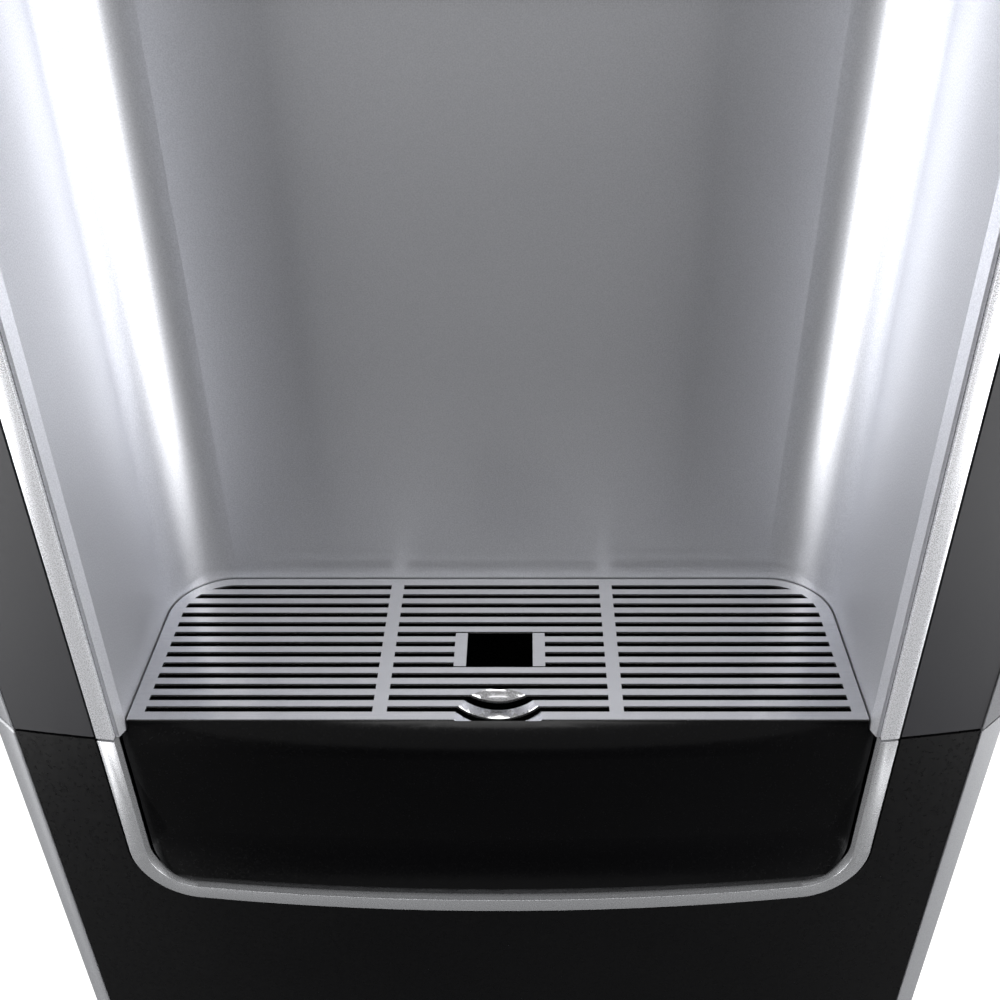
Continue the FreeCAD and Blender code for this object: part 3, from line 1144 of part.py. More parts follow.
def make_compressor():
    """Hermetic compressor on four rubber mounts."""
    shell = rod("comp_can", "comp_radius", "comp_height", "comp_x", "comp_y", "comp_bottom - 0.5")
    smooth = rounded_edges("comp_smooth", shell, "comp_dome", lambda edge: edge.Closed)
    plate = plan_slab("comp_foot", "comp_x - mount_x - foot_margin", "comp_x + mount_x + foot_margin",
                      "comp_y - mount_y - foot_margin", "comp_y + mount_y + foot_margin",
                      "comp_plate", "comp_bottom", front="foot_corner", back="foot_corner")
    stubs = [rod("comp_stub%d" % index, "line_radius + stub_wall", "comp_radius + stub_reach",
                 "comp_x %s stub_offset" % sign, "comp_y", "stub_level", axis="y")
             for index, sign in enumerate("-+")]
    box = block("comp_terminal", "comp_x - comp_radius - terminal_reach", "comp_x",
                "comp_y - terminal_width / 2", "comp_y + terminal_width / 2",
                "comp_plate + terminal_rise", "comp_plate + terminal_rise + terminal_height")
    saddle = rod("comp_saddle", "comp_radius - comp_dome", "comp_dome", "comp_x", "comp_y",
                 "comp_plate")
    finish("compressor", join("compressor", smooth, plate, saddle, box, *stubs))
    mounts = []
    for index, (dx, dy) in enumerate((("-", "-"), ("-", ""), ("", "-"), ("", ""))):
        mounts.append(rod("mount%d" % index, "mount_radius", "mount_height - clearance",
                          "comp_x + (%smount_x)" % dx, "comp_y + (%smount_y)" % dy,
                          "deck_top + clearance"))
    finish("compressor_mounts", bundle("compressor_mounts", mounts))


def make_condenser():
    """Wire-on-tube condenser on the back: one serpentine tube between two layers of wires."""
    y, low = value("condenser_y"), value("condenser_bottom")
    reach, pitch = value("condenser_end"), value("condenser_pitch")
    edges = []
    side = 1
    runs = int(value("condenser_runs"))
    for run in range(runs):
        level = low + run * pitch
        start, end = Vector(-side * reach, y, level), Vector(side * reach, y, level)
        edges.append(Part.LineSegment(start, end).toShape())
        if run < runs - 1:
            bulge = Vector(side * (reach + pitch / 2), y, level + pitch / 2)
            edges.append(Part.Arc(end, bulge, end + Vector(0, 0, pitch)).toShape())
        side = -side
    tube = solid_feature("condenser_tube", swept(Part.Wire(edges), value("line_radius")))
    pieces = [tube]
    offset = "wire_radius + line_radius"
    count = int(value("wire_count"))
    for layer, sign in (("front", "-"), ("back", "+")):
        for index in range(count):
            x = "(%s) * wire_spacing" % (index - (count - 1) / 2)
            pieces.append(rod("wire_%s%d" % (layer, index), "wire_radius",
                              "condenser_top - condenser_bottom + 2 * wire_overrun", x,
                              "condenser_y %s (%s)" % (sign, offset),
                              "condenser_bottom - wire_overrun"))
    for index, x in enumerate(("-condenser_end - standoff_width / 2",
                               "condenser_end - standoff_width / 2")):
        for level in ("condenser_bottom", "condenser_top"):
            pieces.append(block("standoff%d_%s" % (index, level[10:]), x, x + " + standoff_width",
                                "rear_panel_back + clearance", "condenser_y - line_radius",
                                level + " - standoff_height / 2", level + " + standoff_height / 2"))
    finish("condenser", bundle("condenser", pieces))


def make_lines(coil_top):
    """Copper lines of the cooling circuit, and the drier in front of the capillary."""
    radius, bend = value("line_radius"), value("line_bend")
    gap, stub_z, elbow = value("clearance"), value("stub_level"), radius * 1.5
    out_x = value("comp_x") + value("stub_offset")
    back_x = value("comp_x") - value("stub_offset")
    stub_y = value("comp_y") + value("comp_radius") + value("stub_reach") + gap
    lane = value("rear_panel_front") - value("lane_inset")
    y, top, bottom = value("condenser_y"), value("condenser_top"), value("condenser_bottom")
    discharge = bent_path([Vector(out_x, stub_y, stub_z), Vector(out_x, lane, stub_z),
                           Vector(out_x, lane, top), Vector(out_x, y - 2 * radius, top)], elbow)
    cold_x, coil_tube = value("cold_x"), value("coil_tube")
    riser = Vector(coil_top.x, coil_top.y, coil_top.z + coil_tube + gap)
    high = value("cold_top") + value("suction_rise")
    suction = bent_path([riser, Vector(riser.x, riser.y, high), Vector(riser.x, lane, high),
                         Vector(riser.x, lane, stub_z), Vector(back_x, lane, stub_z),
                         Vector(back_x, stub_y, stub_z)], elbow)
    drier_x = -value("comp_x")
    drier_y = value("rear_panel_front") - value("drier_inset")
    drier_low = bottom + value("drier_rise")
    drier_top = drier_low + gap + value("drier_length")
    liquid = bent_path([Vector(drier_x, y - 2 * radius, bottom), Vector(drier_x, drier_y, bottom),
                        Vector(drier_x, drier_y, drier_low)], elbow)
    inlet_y = value("cold_y") + value("coil_radius") + coil_tube + gap
    inlet_z = value("cold_bottom") + value("coil_rise")
    capillary = bent_path([Vector(drier_x, drier_y, drier_top + gap),
                           Vector(drier_x, drier_y, inlet_z), Vector(cold_x, drier_y, inlet_z),
                           Vector(cold_x, inlet_y, inlet_z)], bend)
    shapes = [swept(discharge, radius), swept(suction, radius), swept(liquid, radius),
              swept(capillary, radius / 2)]
    finish("refrigerant_lines", solid_feature("refrigerant_lines", Part.makeCompound(shapes)))
    finish("filter_drier", rod("filter_drier", "line_radius * 3.5", "drier_length", "-comp_x",
                               "rear_panel_front - drier_inset",
                               "condenser_bottom + drier_rise + clearance"))


def make_pump_and_probe():
    """Pump over the bay's rear corner, and the probe that hangs below it in its holder."""
    spot = ("probe_x", "probe_y")
    head = block("pump_head", "probe_x - pump_width / 2", "probe_x + pump_width / 2",
                 "probe_y - pump_width / 2", "probe_y + pump_width / 2", "pump_bottom", "pump_top")
    motor = rod("pump_motor", "motor_radius", "motor_height", *spot, "pump_top - 1")
    legs = []
    for index, (dx, dy) in enumerate(((1, 1), (1, -1), (-1, 1), (-1, -1))):
        legs.append(rod("pump_leg%d" % index, "leg_radius", "pump_rise",
                        "probe_x + (%d) * (pump_width / 2 - leg_radius)" % dx,
                        "probe_y + (%d) * (pump_width / 2 - leg_radius)" % dy,
                        "deck_top + clearance"))
    outlet = rod("pump_outlet", "tube_radius", "pump_width / 2 + outlet_reach", "probe_x",
                 "probe_y - pump_width / 2 - outlet_reach", "pump_top - 2 * tube_radius", axis="y")
    finish("pump", join("pump", head, motor, outlet, *legs))

    collar = join("collar_joined",
                  rod("collar_cap", "collar_radius", "collar_height", *spot, "collar_level"),
                  rod("collar_skirt", "skirt_radius", "skirt_height + 1", *spot, "skirt_bottom"),
                  rod("collar_barb", "hose_bore", "barb_length + 1", *spot, "collar_top - 1"))
    socket = rod("collar_socket", "probe_radius", "skirt_height + 5", *spot, "skirt_bottom - 5")
    finish("probe_collar", cut("probe_collar", collar, socket))
    stick = rod("probe_stick", "probe_radius", "collar_level - clearance - probe_bottom", *spot,
                "probe_bottom")
    bore = rod("probe_bore", "probe_radius - probe_wall", "collar_level - probe_bottom", *spot,
               "probe_bottom - 1")
    ports = [rod("probe_port%d" % index, "port_radius", "4 * probe_radius", "probe_x",
                 "probe_y - 2 * probe_radius", "probe_bottom + port_pitch * %s" % (index + 0.8),
                 axis="y") for index in range(3)]
    finish("probe_tube", cut("probe_tube", stick, bore, bundle("probe_ports", ports)))
    top = "collar_level - clearance"
    arm = block("holder_arm", "probe_x - collar_radius", "inside_half", "probe_y - collar_radius",
                "inside_back", top + " - holder_plate", top)
    cheek = block("holder_cheek", "inside_half - cheek_wall", "inside_half",
                  "probe_y - collar_radius", "inside_back", top + " - cheek_height", top)
    bay = rod("holder_bay", "skirt_radius + 1", "cheek_height + 4", *spot, top + " - cheek_height - 2")
    mouth = block("holder_mouth", "probe_x - probe_radius - 2", "probe_x + probe_radius + 2",
                  "probe_y - collar_radius - 1", "probe_y", top + " - cheek_height - 2", top + " + 1")
    finish("probe_holder", cut("probe_holder", join("holder_solid", arm, cheek), bay, mouth))
    hose = rod("hose_outer", "hose_radius", "pump_bottom - clearance - collar_top - clearance",
               *spot, "collar_top + clearance")
    hose_bore = rod("hose_bore_cut", "hose_bore + pin_gap", "pump_bottom - collar_top", *spot,
                    "collar_top - 1")
    finish("suction_hose", cut("suction_hose", hose, hose_bore))


def make_water_tubes():
    """Feed from the pump to the cold tank, and one tube from the tanks to each spout."""
    level, bend = value("tube_level"), value("tube_bend")
    spout_y, spout_top = value("spout_y"), value("spout_tip") + value("spout_length") + value("clearance")
    cold_x, cold_y, reach = value("cold_x"), value("cold_y"), value("cold_radius")
    gap, rise = value("clearance"), value("port_length") - value("tank_wall")
    cold_top = value("cold_top") + rise + gap
    hot_top = value("hot_top") + rise + gap
    probe_x, probe_y = value("probe_x"), value("probe_y")
    outlet_y = probe_y - value("pump_width") / 2 - value("outlet_reach") - gap
    lane_y = outlet_y - value("lane_reach")
    pump_z = value("pump_top") - 2 * value("tube_radius")
    side = value("half_width") - value("side_flange")
    spacing, low = value("spout_spacing"), level - value("tube_step")

    def to_spout(x, y, start, spout_x, height):
        return [Vector(x, y, start), Vector(x, y, height), Vector(spout_x, spout_y, height),
                Vector(spout_x, spout_y, spout_top)]

    routes = (
        [Vector(probe_x, outlet_y, pump_z), Vector(probe_x, lane_y, pump_z),
         Vector(side, lane_y, pump_z), Vector(side, lane_y, level),
         Vector(cold_x, cold_y, level), Vector(cold_x, cold_y, cold_top)],
        to_spout(cold_x - 0.35 * reach, cold_y - 0.5 * reach, cold_top, 0, low),
        to_spout(cold_x + 0.35 * reach, cold_y - 0.5 * reach, cold_top, spacing, low),
        to_spout(-value("hot_x"), value("hot_y"), hot_top, -spacing, low),
    )
    bends = (value("feed_bend"), bend, bend, bend)
    shapes = [piped(bent_path(route, turn), value("tube_radius"), value("tube_bore"))
              for route, turn in zip(routes, bends)]
    finish("water_tubes", solid_feature("water_tubes", Part.makeCompound(shapes)))


def make_back_fittings():
    """Rocker switches, the drain with its screw cap, and the mains inlet."""
    plate = block("switch_face", "-plate_width / 2", "plate_width / 2", "rear_panel_back",
                  "plate_back", "switch_level - plate_height / 2", "switch_level + plate_height / 2")
    low = "switch_level - plate_height / 2 + body_margin"
    high = "switch_level + plate_height / 2 - body_margin"
    housing = block("switch_body", "-plate_width / 2 + body_inset", "plate_width / 2 - body_inset",
                    "rear_panel_back - body_depth", "rear_panel_back - rocker_well", low, high)
    cheeks = []
    for index, shift in enumerate((-1.5, -0.5, 0.5, 1.5)):
        middle = "(%s) * switch_pitch" % shift
        cheeks.append(block("switch_cheek%d" % index, middle + " - cheek_width / 2",
                            middle + " + cheek_width / 2", "rear_panel_back - rocker_well - 0.5",
                            "rear_panel_back", low, high))
    openings = [block("rocker_opening%d" % index,
                      "(%d) * switch_pitch - rocker_width / 2 - rocker_gap" % shift,
                      "(%d) * switch_pitch + rocker_width / 2 + rocker_gap" % shift,
                      "rear_panel_back - rocker_well", "plate_back + 1",
                      "switch_level - rocker_height / 2 - rocker_play",
                      "switch_level + rocker_height / 2 + rocker_play")
                for index, shift in enumerate((-1, 0, 1))]
    reach = "switch_pitch / 2 - pivot_inset + clearance"
    sockets = [rod("pivot_socket%d" % index, "pivot_radius + pin_gap", "2 * (%s)" % reach,
                   "(%d) * switch_pitch - (%s)" % (shift, reach), "rear_panel_back",
                   "switch_level", axis="x")
               for index, shift in enumerate((-1, 0, 1))]
    finish("switch_plate", cut("switch_plate", join("switch_joined", plate, housing, *cheeks),
                               bundle("rocker_openings", openings),
                               bundle("pivot_sockets", sockets)))
    half = "rocker_height / 2"
    for shift, name in ((-1, "switch_hot"), (0, "switch_cold"), (1, "switch_light")):
        corners = (("-rocker_root", "-(%s)" % half), ("rocker_depth", "-(%s)" % half),
                   ("rocker_depth - rocker_dip", "0"), ("rocker_depth", half),
                   ("-rocker_root", half))
        bar = profile_x(name + "_bar", corners, "-rocker_width / 2", "rocker_width / 2")
        pivot = rod(name + "_pivot", "pivot_radius", "switch_pitch - 2 * pivot_inset",
                    "pivot_inset - switch_pitch / 2", "0", "0", axis="x")
        rocker = join(name, bar, pivot)
        rocker.Placement = FreeCAD.Placement(Vector(), Rotation(Vector(1, 0, 0), value("rocker_tilt")))
        move(rocker, "(%d) * switch_pitch" % shift, "rear_panel_back", "switch_level")
        finish(name, rocker)

    spot = ("-hot_x", "drain_level")
    neck = rod("drain_neck", "drain_radius", "neck_inside + neck_outside", spot[0],
               "rear_panel_back - neck_inside", spot[1], axis="y")
    flange = rod("drain_collar", "drain_radius + drain_flange", "drain_washer", spot[0],
                 "rear_panel_front - clearance - drain_washer", spot[1], axis="y")
    bore = rod("drain_bore_cut", "drain_bore", "neck_inside + neck_outside + 2", spot[0],
               "rear_panel_back - neck_inside - 1", spot[1], axis="y")
    finish("drain_spigot", cut("drain_spigot", join("drain_solid", neck, flange), bore))
    cap = rod("cap_body", "cap_radius", "cap_length", spot[0], "rear_panel_back + cap_gap", spot[1],
              axis="y")
    cap_bore = rod("cap_bore", "drain_radius + clearance", "cap_depth", spot[0],
                   "rear_panel_back + cap_gap", spot[1], axis="y")
    finish("drain_cap", cut("drain_cap", cap, cap_bore))

    x, z = "inlet_x", "inlet_level"
    face = plan_face("inlet_plate", x, z, "inlet_width / 2 + inlet_ear",
                     "inlet_height / 2 + inlet_border", "rear_panel_back",
                     "rear_panel_back + inlet_face", "inlet_border")
    case = plan_face("inlet_case", x, z, "inlet_width / 2", "inlet_height / 2",
                     "rear_panel_back - inlet_depth", "rear_panel_back + 1", "2")
    socket = plan_face("inlet_socket", x, z, "inlet_width / 2 - inlet_wall",
                       "inlet_height / 2 - inlet_wall", "rear_panel_back - socket_depth",
                       "rear_panel_back + inlet_face + 1", "inlet_wall")
    spots = (("-blade_spread", "-blade_low"), ("0", "-blade_high"), ("blade_spread", "-blade_low"))
    blades = [block("inlet_blade%d" % index, "inlet_x + (%s) - blade_width / 2" % dx,
                    "inlet_x + (%s) + blade_width / 2" % dx,
                    "rear_panel_back - socket_depth - 1", "rear_panel_back",
                    "inlet_level + (%s) - blade_height / 2" % dz,
                    "inlet_level + (%s) + blade_height / 2" % dz)
              for index, (dx, dz) in enumerate(spots)]
    finish("power_inlet", join("power_inlet", cut("inlet_shell", join("inlet_solid", face, case),
                                                  socket), *blades))


def plan_face(name, x, z, half_x, half_z, y0, y1, corner):
    """A rounded front-view slab about a centre."""
    return front_slab(name, "%s - (%s)" % (x, half_x), "%s + (%s)" % (x, half_x),
                      "%s - (%s)" % (z, half_z), "%s + (%s)" % (z, half_z), y0, y1,
                      low=corner, high=corner)


def write_parts():
    """Checks every object, then writes each piece to its own file."""
    doc.recompute()
    for item in doc.Objects:
        if "Invalid" in item.State or "Error" in item.State:
            raise RuntimeError("%s failed: %s" % (item.Name, item.State))
    os.makedirs("parts", exist_ok=True)
    for name, item in finished.items():
        if item.Shape.isNull() or not item.Shape.isValid():
            raise RuntimeError("%s has no valid shape" % name)
    for name, item in finished.items():
        item.Shape.exportStep("parts/%s.step" % name)
    places.clear("D1")
    print("%d pieces written" % len(finished))


make_plinth()
make_case()
make_cover()
make_front()
make_strips_and_hinges()
make_alcove()
make_spouts()
make_grate()
make_tray()
make_controls()
make_hot_tank()
coil_end = make_cold_tank()
make_compressor()
make_condenser()
make_lines(coil_end)
make_pump_and_probe()
make_water_tubes()
make_back_fittings()
write_parts()
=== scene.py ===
# %% [markdown]
# # A bottom load water cooler, dressed for a studio picture
#
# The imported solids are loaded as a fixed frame. Each one keeps its shape and gets a material made
# of nodes, and thin rolled edges come from modifiers. Only the suction hose is stood for by a soft
# piece of the same size. Everything is in metres, the front faces -Y.

# %%
import math

import bpy
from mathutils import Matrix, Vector


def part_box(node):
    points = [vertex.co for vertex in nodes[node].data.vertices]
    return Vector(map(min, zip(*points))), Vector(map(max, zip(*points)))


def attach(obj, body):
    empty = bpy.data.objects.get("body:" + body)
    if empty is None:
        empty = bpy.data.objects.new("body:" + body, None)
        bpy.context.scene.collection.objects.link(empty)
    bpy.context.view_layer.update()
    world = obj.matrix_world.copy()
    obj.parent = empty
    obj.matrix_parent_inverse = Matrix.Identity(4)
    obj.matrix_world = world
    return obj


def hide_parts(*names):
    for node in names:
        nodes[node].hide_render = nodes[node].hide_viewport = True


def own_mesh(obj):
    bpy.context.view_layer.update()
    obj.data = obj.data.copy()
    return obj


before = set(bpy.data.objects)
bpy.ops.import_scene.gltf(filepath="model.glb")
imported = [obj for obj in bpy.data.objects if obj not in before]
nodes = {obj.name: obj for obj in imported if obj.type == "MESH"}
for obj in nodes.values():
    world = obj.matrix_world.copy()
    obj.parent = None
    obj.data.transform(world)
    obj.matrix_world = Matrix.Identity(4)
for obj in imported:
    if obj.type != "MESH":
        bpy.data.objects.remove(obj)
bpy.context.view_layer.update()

# %% [markdown]
# ## Node helpers
#
# Every material starts the same way: a Principled shader, object coordinates, and small helpers
# that add noise, a ramp between two colours, a changing roughness and a bump.

# %%
def new_material(name):
    material = bpy.data.materials.new(name)
    material.use_nodes = True
    tree = material.node_tree
    shader = tree.nodes["Principled BSDF"]
    coords = tree.nodes.new("ShaderNodeTexCoord")
    return material, tree, shader, coords.outputs["Object"]


def stretched(tree, vector, scale):
    mapping = tree.nodes.new("ShaderNodeMapping")
    mapping.inputs["Scale"].default_value = scale
    tree.links.new(vector, mapping.inputs["Vector"])
    return mapping.outputs["Vector"]


def noise(tree, vector, scale, detail):
    texture = tree.nodes.new("ShaderNodeTexNoise")
    texture.inputs["Scale"].default_value = scale
    texture.inputs["Detail"].default_value = detail
    tree.links.new(vector, texture.inputs["Vector"])
    return texture.outputs["Fac"]


def between(tree, value, band, first, second):
    """Maps a value from its band to the range from first to second."""
    step = tree.nodes.new("ShaderNodeMapRange")
    step.inputs["From Min"].default_value = band[0]
    step.inputs["From Max"].default_value = band[1]
    step.inputs["To Min"].default_value = first
    step.inputs["To Max"].default_value = second
    tree.links.new(value, step.inputs["Value"])
    return step.outputs["Result"]


def blend_colours(tree, value, first, second):
    mix = tree.nodes.new("ShaderNodeMix")
    mix.data_type = "RGBA"
    mix.inputs["A"].default_value = (*first, 1)
    mix.inputs["B"].default_value = (*second, 1)
    tree.links.new(value, mix.inputs["Factor"])
    return mix.outputs["Result"]


def bump(tree, shader, height, strength, distance):
    step = tree.nodes.new("ShaderNodeBump")
    step.inputs["Strength"].default_value = strength
    step.inputs["Distance"].default_value = distance
    tree.links.new(height, step.inputs["Height"])
    tree.links.new(step.outputs["Normal"], shader.inputs["Normal"])

# %% [markdown]
# ## Finishes
#
# Silver paint carries fine metal flakes. Steel is brushed along X. Mouldings have a fine grain, and
# paint has a faint orange peel. A noise scale counts cells per metre, and a depth in brushed and
# moulded finishes is in metres.

# %%
full_band = (0.0, 1.0)
noise_band = (0.3, 0.7)  # holds most of a noise texture's values
line_band = (0.35, 0.65)
flake_band = (0.42, 0.86)  # flakes plus a share of the cloud


def silver(name, dark, light, roughness, metallic, flake=2600.0, coat=0.0, depth=0.12):
    """Metallic paint. Its depth is the strength of a fixed bump."""
    cloud_scale, cloud_share, swing = 9.0, 0.25, 0.05
    coat_roughness, bump_distance = 0.2, 0.00002
    material, tree, shader, place = new_material(name)
    flakes = noise(tree, place, flake, 1.0)
    cloud = noise(tree, place, cloud_scale, 3.0)
    both = tree.nodes.new("ShaderNodeMath")
    both.operation = "MULTIPLY_ADD"
    both.inputs[1].default_value = cloud_share
    tree.links.new(cloud, both.inputs[0])
    tree.links.new(flakes, both.inputs[2])
    spread = between(tree, both.outputs["Value"], flake_band, 0.0, 1.0)
    tree.links.new(blend_colours(tree, spread, dark, light), shader.inputs["Base Color"])
    tree.links.new(between(tree, flakes, noise_band, roughness + swing, roughness - swing),
                   shader.inputs["Roughness"])
    shader.inputs["Metallic"].default_value = metallic
    shader.inputs["Coat Weight"].default_value = coat
    shader.inputs["Coat Roughness"].default_value = coat_roughness
    bump(tree, shader, flakes, depth, bump_distance)
    return material


def brushed(name, dark, light, roughness, across=(60.0, 5200.0, 5200.0), metallic=1.0,
            depth=0.00003):
    """Bare metal with fine lines: the noise scale along each axis is in across."""
    swing, bump_strength = 0.06, 0.1
    material, tree, shader, place = new_material(name)
    lines = noise(tree, stretched(tree, place, across), 1.0, 3.0)
    spread = between(tree, lines, line_band, 0.0, 1.0)
    tree.links.new(blend_colours(tree, spread, dark, light), shader.inputs["Base Color"])
    tree.links.new(between(tree, lines, noise_band, roughness - swing, roughness + swing),
                   shader.inputs["Roughness"])
    shader.inputs["Metallic"].default_value = metallic
    bump(tree, shader, lines, bump_strength, depth)
    return material


def moulded(name, dark, light, roughness, grain=900.0, depth=0.00008, specular=0.5):
    """Plastic, rubber, foam or paint with a fine grain."""
    cloud_scale, swing, bump_strength = 14.0, 0.04, 0.25
    material, tree, shader, place = new_material(name)
    cloud = noise(tree, place, cloud_scale, 4.0)
    fine = noise(tree, place, grain, 3.0)
    spread = between(tree, cloud, noise_band, 0.0, 1.0)
    tree.links.new(blend_colours(tree, spread, dark, light), shader.inputs["Base Color"])
    tree.links.new(between(tree, fine, noise_band, roughness - swing, roughness + swing),
                   shader.inputs["Roughness"])
    shader.inputs["Specular IOR Level"].default_value = specular
    bump(tree, shader, fine, bump_strength, depth)
    return material


def clear(name, tint, roughness):
    """Clear plastic with a light haze in its roughness."""
    haze_scale, smoother, rougher = 300.0, 0.03, 0.05
    transmission, refraction = 0.85, 1.45
    material, tree, shader, place = new_material(name)
    haze = noise(tree, place, haze_scale, 2.0)
    tree.links.new(between(tree, haze, noise_band, roughness - smoother, roughness + rougher),
                   shader.inputs["Roughness"])
    shader.inputs["Base Color"].default_value = (*tint, 1)
    shader.inputs["Transmission Weight"].default_value = transmission
    shader.inputs["IOR"].default_value = refraction
    return material


finish = {
    "liner": silver("satin_silver_liner", (0.52, 0.528, 0.56), (0.67, 0.678, 0.71),
                    roughness=0.385, metallic=0.92, coat=0.2),
    # The trims and strips are one silver paint in three tones: the upper trim's lighter colour is
    # painted light, and the door trim's darker colour and the strips' darkest colour are painted
    # shade.
    "upper_trim": silver("lit_silver_upper_trim", (0.58, 0.585, 0.61), (0.63, 0.635, 0.66),
                         roughness=0.28, metallic=0.6, flake=3400.0, depth=0.05),
    "trim": silver("shaded_silver_door_trim", (0.42, 0.425, 0.44), (0.56, 0.565, 0.585),
                   roughness=0.30, metallic=0.78, flake=3000.0, depth=0.08),
    "strip": silver("shaded_silver_strip", (0.21, 0.213, 0.225), (0.28, 0.284, 0.296),
                    roughness=0.36, metallic=0.5, flake=2400.0),
    "grate": brushed("brushed_stainless", (0.59, 0.59, 0.605), (0.65, 0.65, 0.665),
                     roughness=0.16, metallic=0.92, depth=0.000008),
    "steel": brushed("drawn_steel", (0.50, 0.50, 0.50), (0.66, 0.66, 0.66),
                     roughness=0.3, across=(900.0, 900.0, 40.0)),
    "zinc": silver("zinc_plate", (0.34, 0.35, 0.37), (0.56, 0.57, 0.58),
                   roughness=0.42, metallic=0.9, flake=500.0),
    "upper_black": moulded("black_panel", (0.013, 0.013, 0.015), (0.017, 0.017, 0.019),
                           roughness=0.40, grain=700.0, depth=0.00002, specular=0.26),
    # The door and tray finishes are darker copies of the black panel finish: their near-zero colour
    # is painted shade on the lower front.
    "door_shaded_black": moulded("shaded_black_door", (0.0012, 0.0012, 0.0014), (0.0018, 0.0018, 0.0020),
                          roughness=0.30, grain=700.0, depth=0.00001, specular=0.24),
    "tray_shaded_black": moulded("shaded_satin_black_tray", (0.0005, 0.0005, 0.0006), (0.0008, 0.0008, 0.0010),
                          roughness=0.24, grain=1400.0, depth=0.00001, specular=0.22),
    "dark": moulded("dark_moulding", (0.020, 0.020, 0.021), (0.030, 0.030, 0.032),
                    roughness=0.45),
    "sheet": moulded("powder_coat", (0.024, 0.024, 0.026), (0.034, 0.034, 0.036),
                     roughness=0.46, grain=1100.0, depth=0.00012, specular=0.3),
    "white": moulded("natural_moulding", (0.72, 0.72, 0.70), (0.80, 0.80, 0.78), roughness=0.4),
    "red": moulded("red_moulding", (0.46, 0.020, 0.018), (0.56, 0.030, 0.026),
                   roughness=0.28, depth=0.00002),
    "blue": moulded("blue_moulding", (0.020, 0.09, 0.36), (0.028, 0.12, 0.44),
                    roughness=0.28, depth=0.00002),
    "grey": moulded("grey_moulding", (0.30, 0.31, 0.32), (0.36, 0.37, 0.38),
                    roughness=0.3, depth=0.00002),
    "board": moulded("lacquered_board", (0.010, 0.10, 0.035), (0.016, 0.15, 0.05),
                     roughness=0.3, grain=400.0),
    "foam": moulded("jacket_foam", (0.60, 0.58, 0.50), (0.74, 0.72, 0.64),
                    roughness=0.85, grain=420.0, depth=0.0006, specular=0.2),
    "rubber": moulded("black_rubber", (0.012, 0.012, 0.012), (0.022, 0.022, 0.022),
                      roughness=0.62, grain=600.0, depth=0.0001, specular=0.3),
    "enamel": moulded("black_enamel", (0.008, 0.008, 0.008), (0.014, 0.014, 0.014),
                      roughness=0.22, grain=200.0, depth=0.00004, specular=0.6),
    "copper": brushed("copper_tube", (0.62, 0.27, 0.16), (0.76, 0.38, 0.24),
                      roughness=0.3, across=(400.0, 400.0, 400.0)),
    "tube": clear("silicone_tube", (0.86, 0.90, 0.92), roughness=0.25),
    "lens": clear("frosted_lens", (0.92, 0.94, 0.97), roughness=0.35),
}
print(len(finish), "finishes")

# %% [markdown]
# ## Which solid has which finish

# %%
wears = {
    "liner": ["alcove_liner"],
    # The upper trim wears a lighter silver as painted light; the door trim and the strips wear
    # darker copies as painted shade.
    "upper_trim": ["upper_trim"],
    "trim": ["door_trim"],
    "strip": ["upper_strip_left", "upper_strip_right", "door_strip_left", "door_strip_right"],
    "grate": ["drip_grate"],
    "steel": ["hot_tank", "cold_tank", "probe_tube"],
    "zinc": ["machine_deck", "lower_hinge", "upper_hinge_pin", "heater_band", "tank_bracket",
             "panel_screws"],
    "upper_black": ["upper_front_panel", "control_fascia"],
    # The door panel and the tray wear darker copies of the black finish, as painted shade.
    "door_shaded_black": ["door_panel"],
    "tray_shaded_black": ["drip_tray", "thermostats"],
    "dark": ["base_pan", "bottle_platform", "top_cover", "door_inner", "spout_housing", "pump",
             "probe_collar", "drain_spigot", "drain_cap", "switch_plate", "power_inlet"],
    "sheet": ["left_side_panel", "right_side_panel", "rear_panel"],
    "white": ["door_bushes", "probe_holder"],
    "red": ["button_hot", "child_lock", "switch_hot"],
    "blue": ["button_cold", "switch_cold"],
    "grey": ["button_room", "switch_light"],
    "board": ["control_board"],
    "foam": ["tank_insulation"],
    "rubber": ["feet", "door_magnet", "compressor_mounts"],
    "enamel": ["compressor", "condenser"],
    "copper": ["filter_drier", "refrigerant_lines", "evaporator_coil"],
    "tube": ["spouts", "suction_hose", "water_tubes"],
    "lens": ["indicator_lenses", "night_light_lens"],
}


def dress(name, material):
    slots = nodes[name].material_slots
    for slot in slots:
        slot.material = material
    if not slots:
        nodes[name].data.materials.append(material)


for kind, names in wears.items():
    for name in names:
        dress(name, finish[kind])
bare = sorted(set(nodes) - {name for names in wears.values() for name in names})
print("solids without a finish:", bare)

# %% [markdown]
# ## The suction hose
#
# The hose over the probe's barb is soft. It is built as a plain tube the size of the imported one,
# with a bore that clears the barb, and hangs from the case.

# %%
barb_radius = 0.003
barb_gap = 0.00005


def tube_mesh(name, middle, outer, inner, bottom, top, sides=64):
    """A plain tube wall along Z, closed by a flat ring at each end."""
    rings = ((outer, bottom), (outer, top), (inner, top), (inner, bottom))
    points = [(middle[0] + radius * math.cos(math.tau * turn / sides),
               middle[1] + radius * math.sin(math.tau * turn / sides), level)
              for radius, level in rings for turn in range(sides)]
    faces = []
    for ring in range(len(rings)):
        here, after = ring * sides, (ring + 1) % len(rings) * sides
        for turn in range(sides):
            step = (turn + 1) % sides
            faces.append((here + turn, here + step, after + step, after + turn))
    mesh = bpy.data.meshes.new(name)
    mesh.from_pydata(points, [], faces)
    mesh.shade_smooth()
    mesh.set_sharp_from_angle(angle=math.radians(40.0))
    return mesh


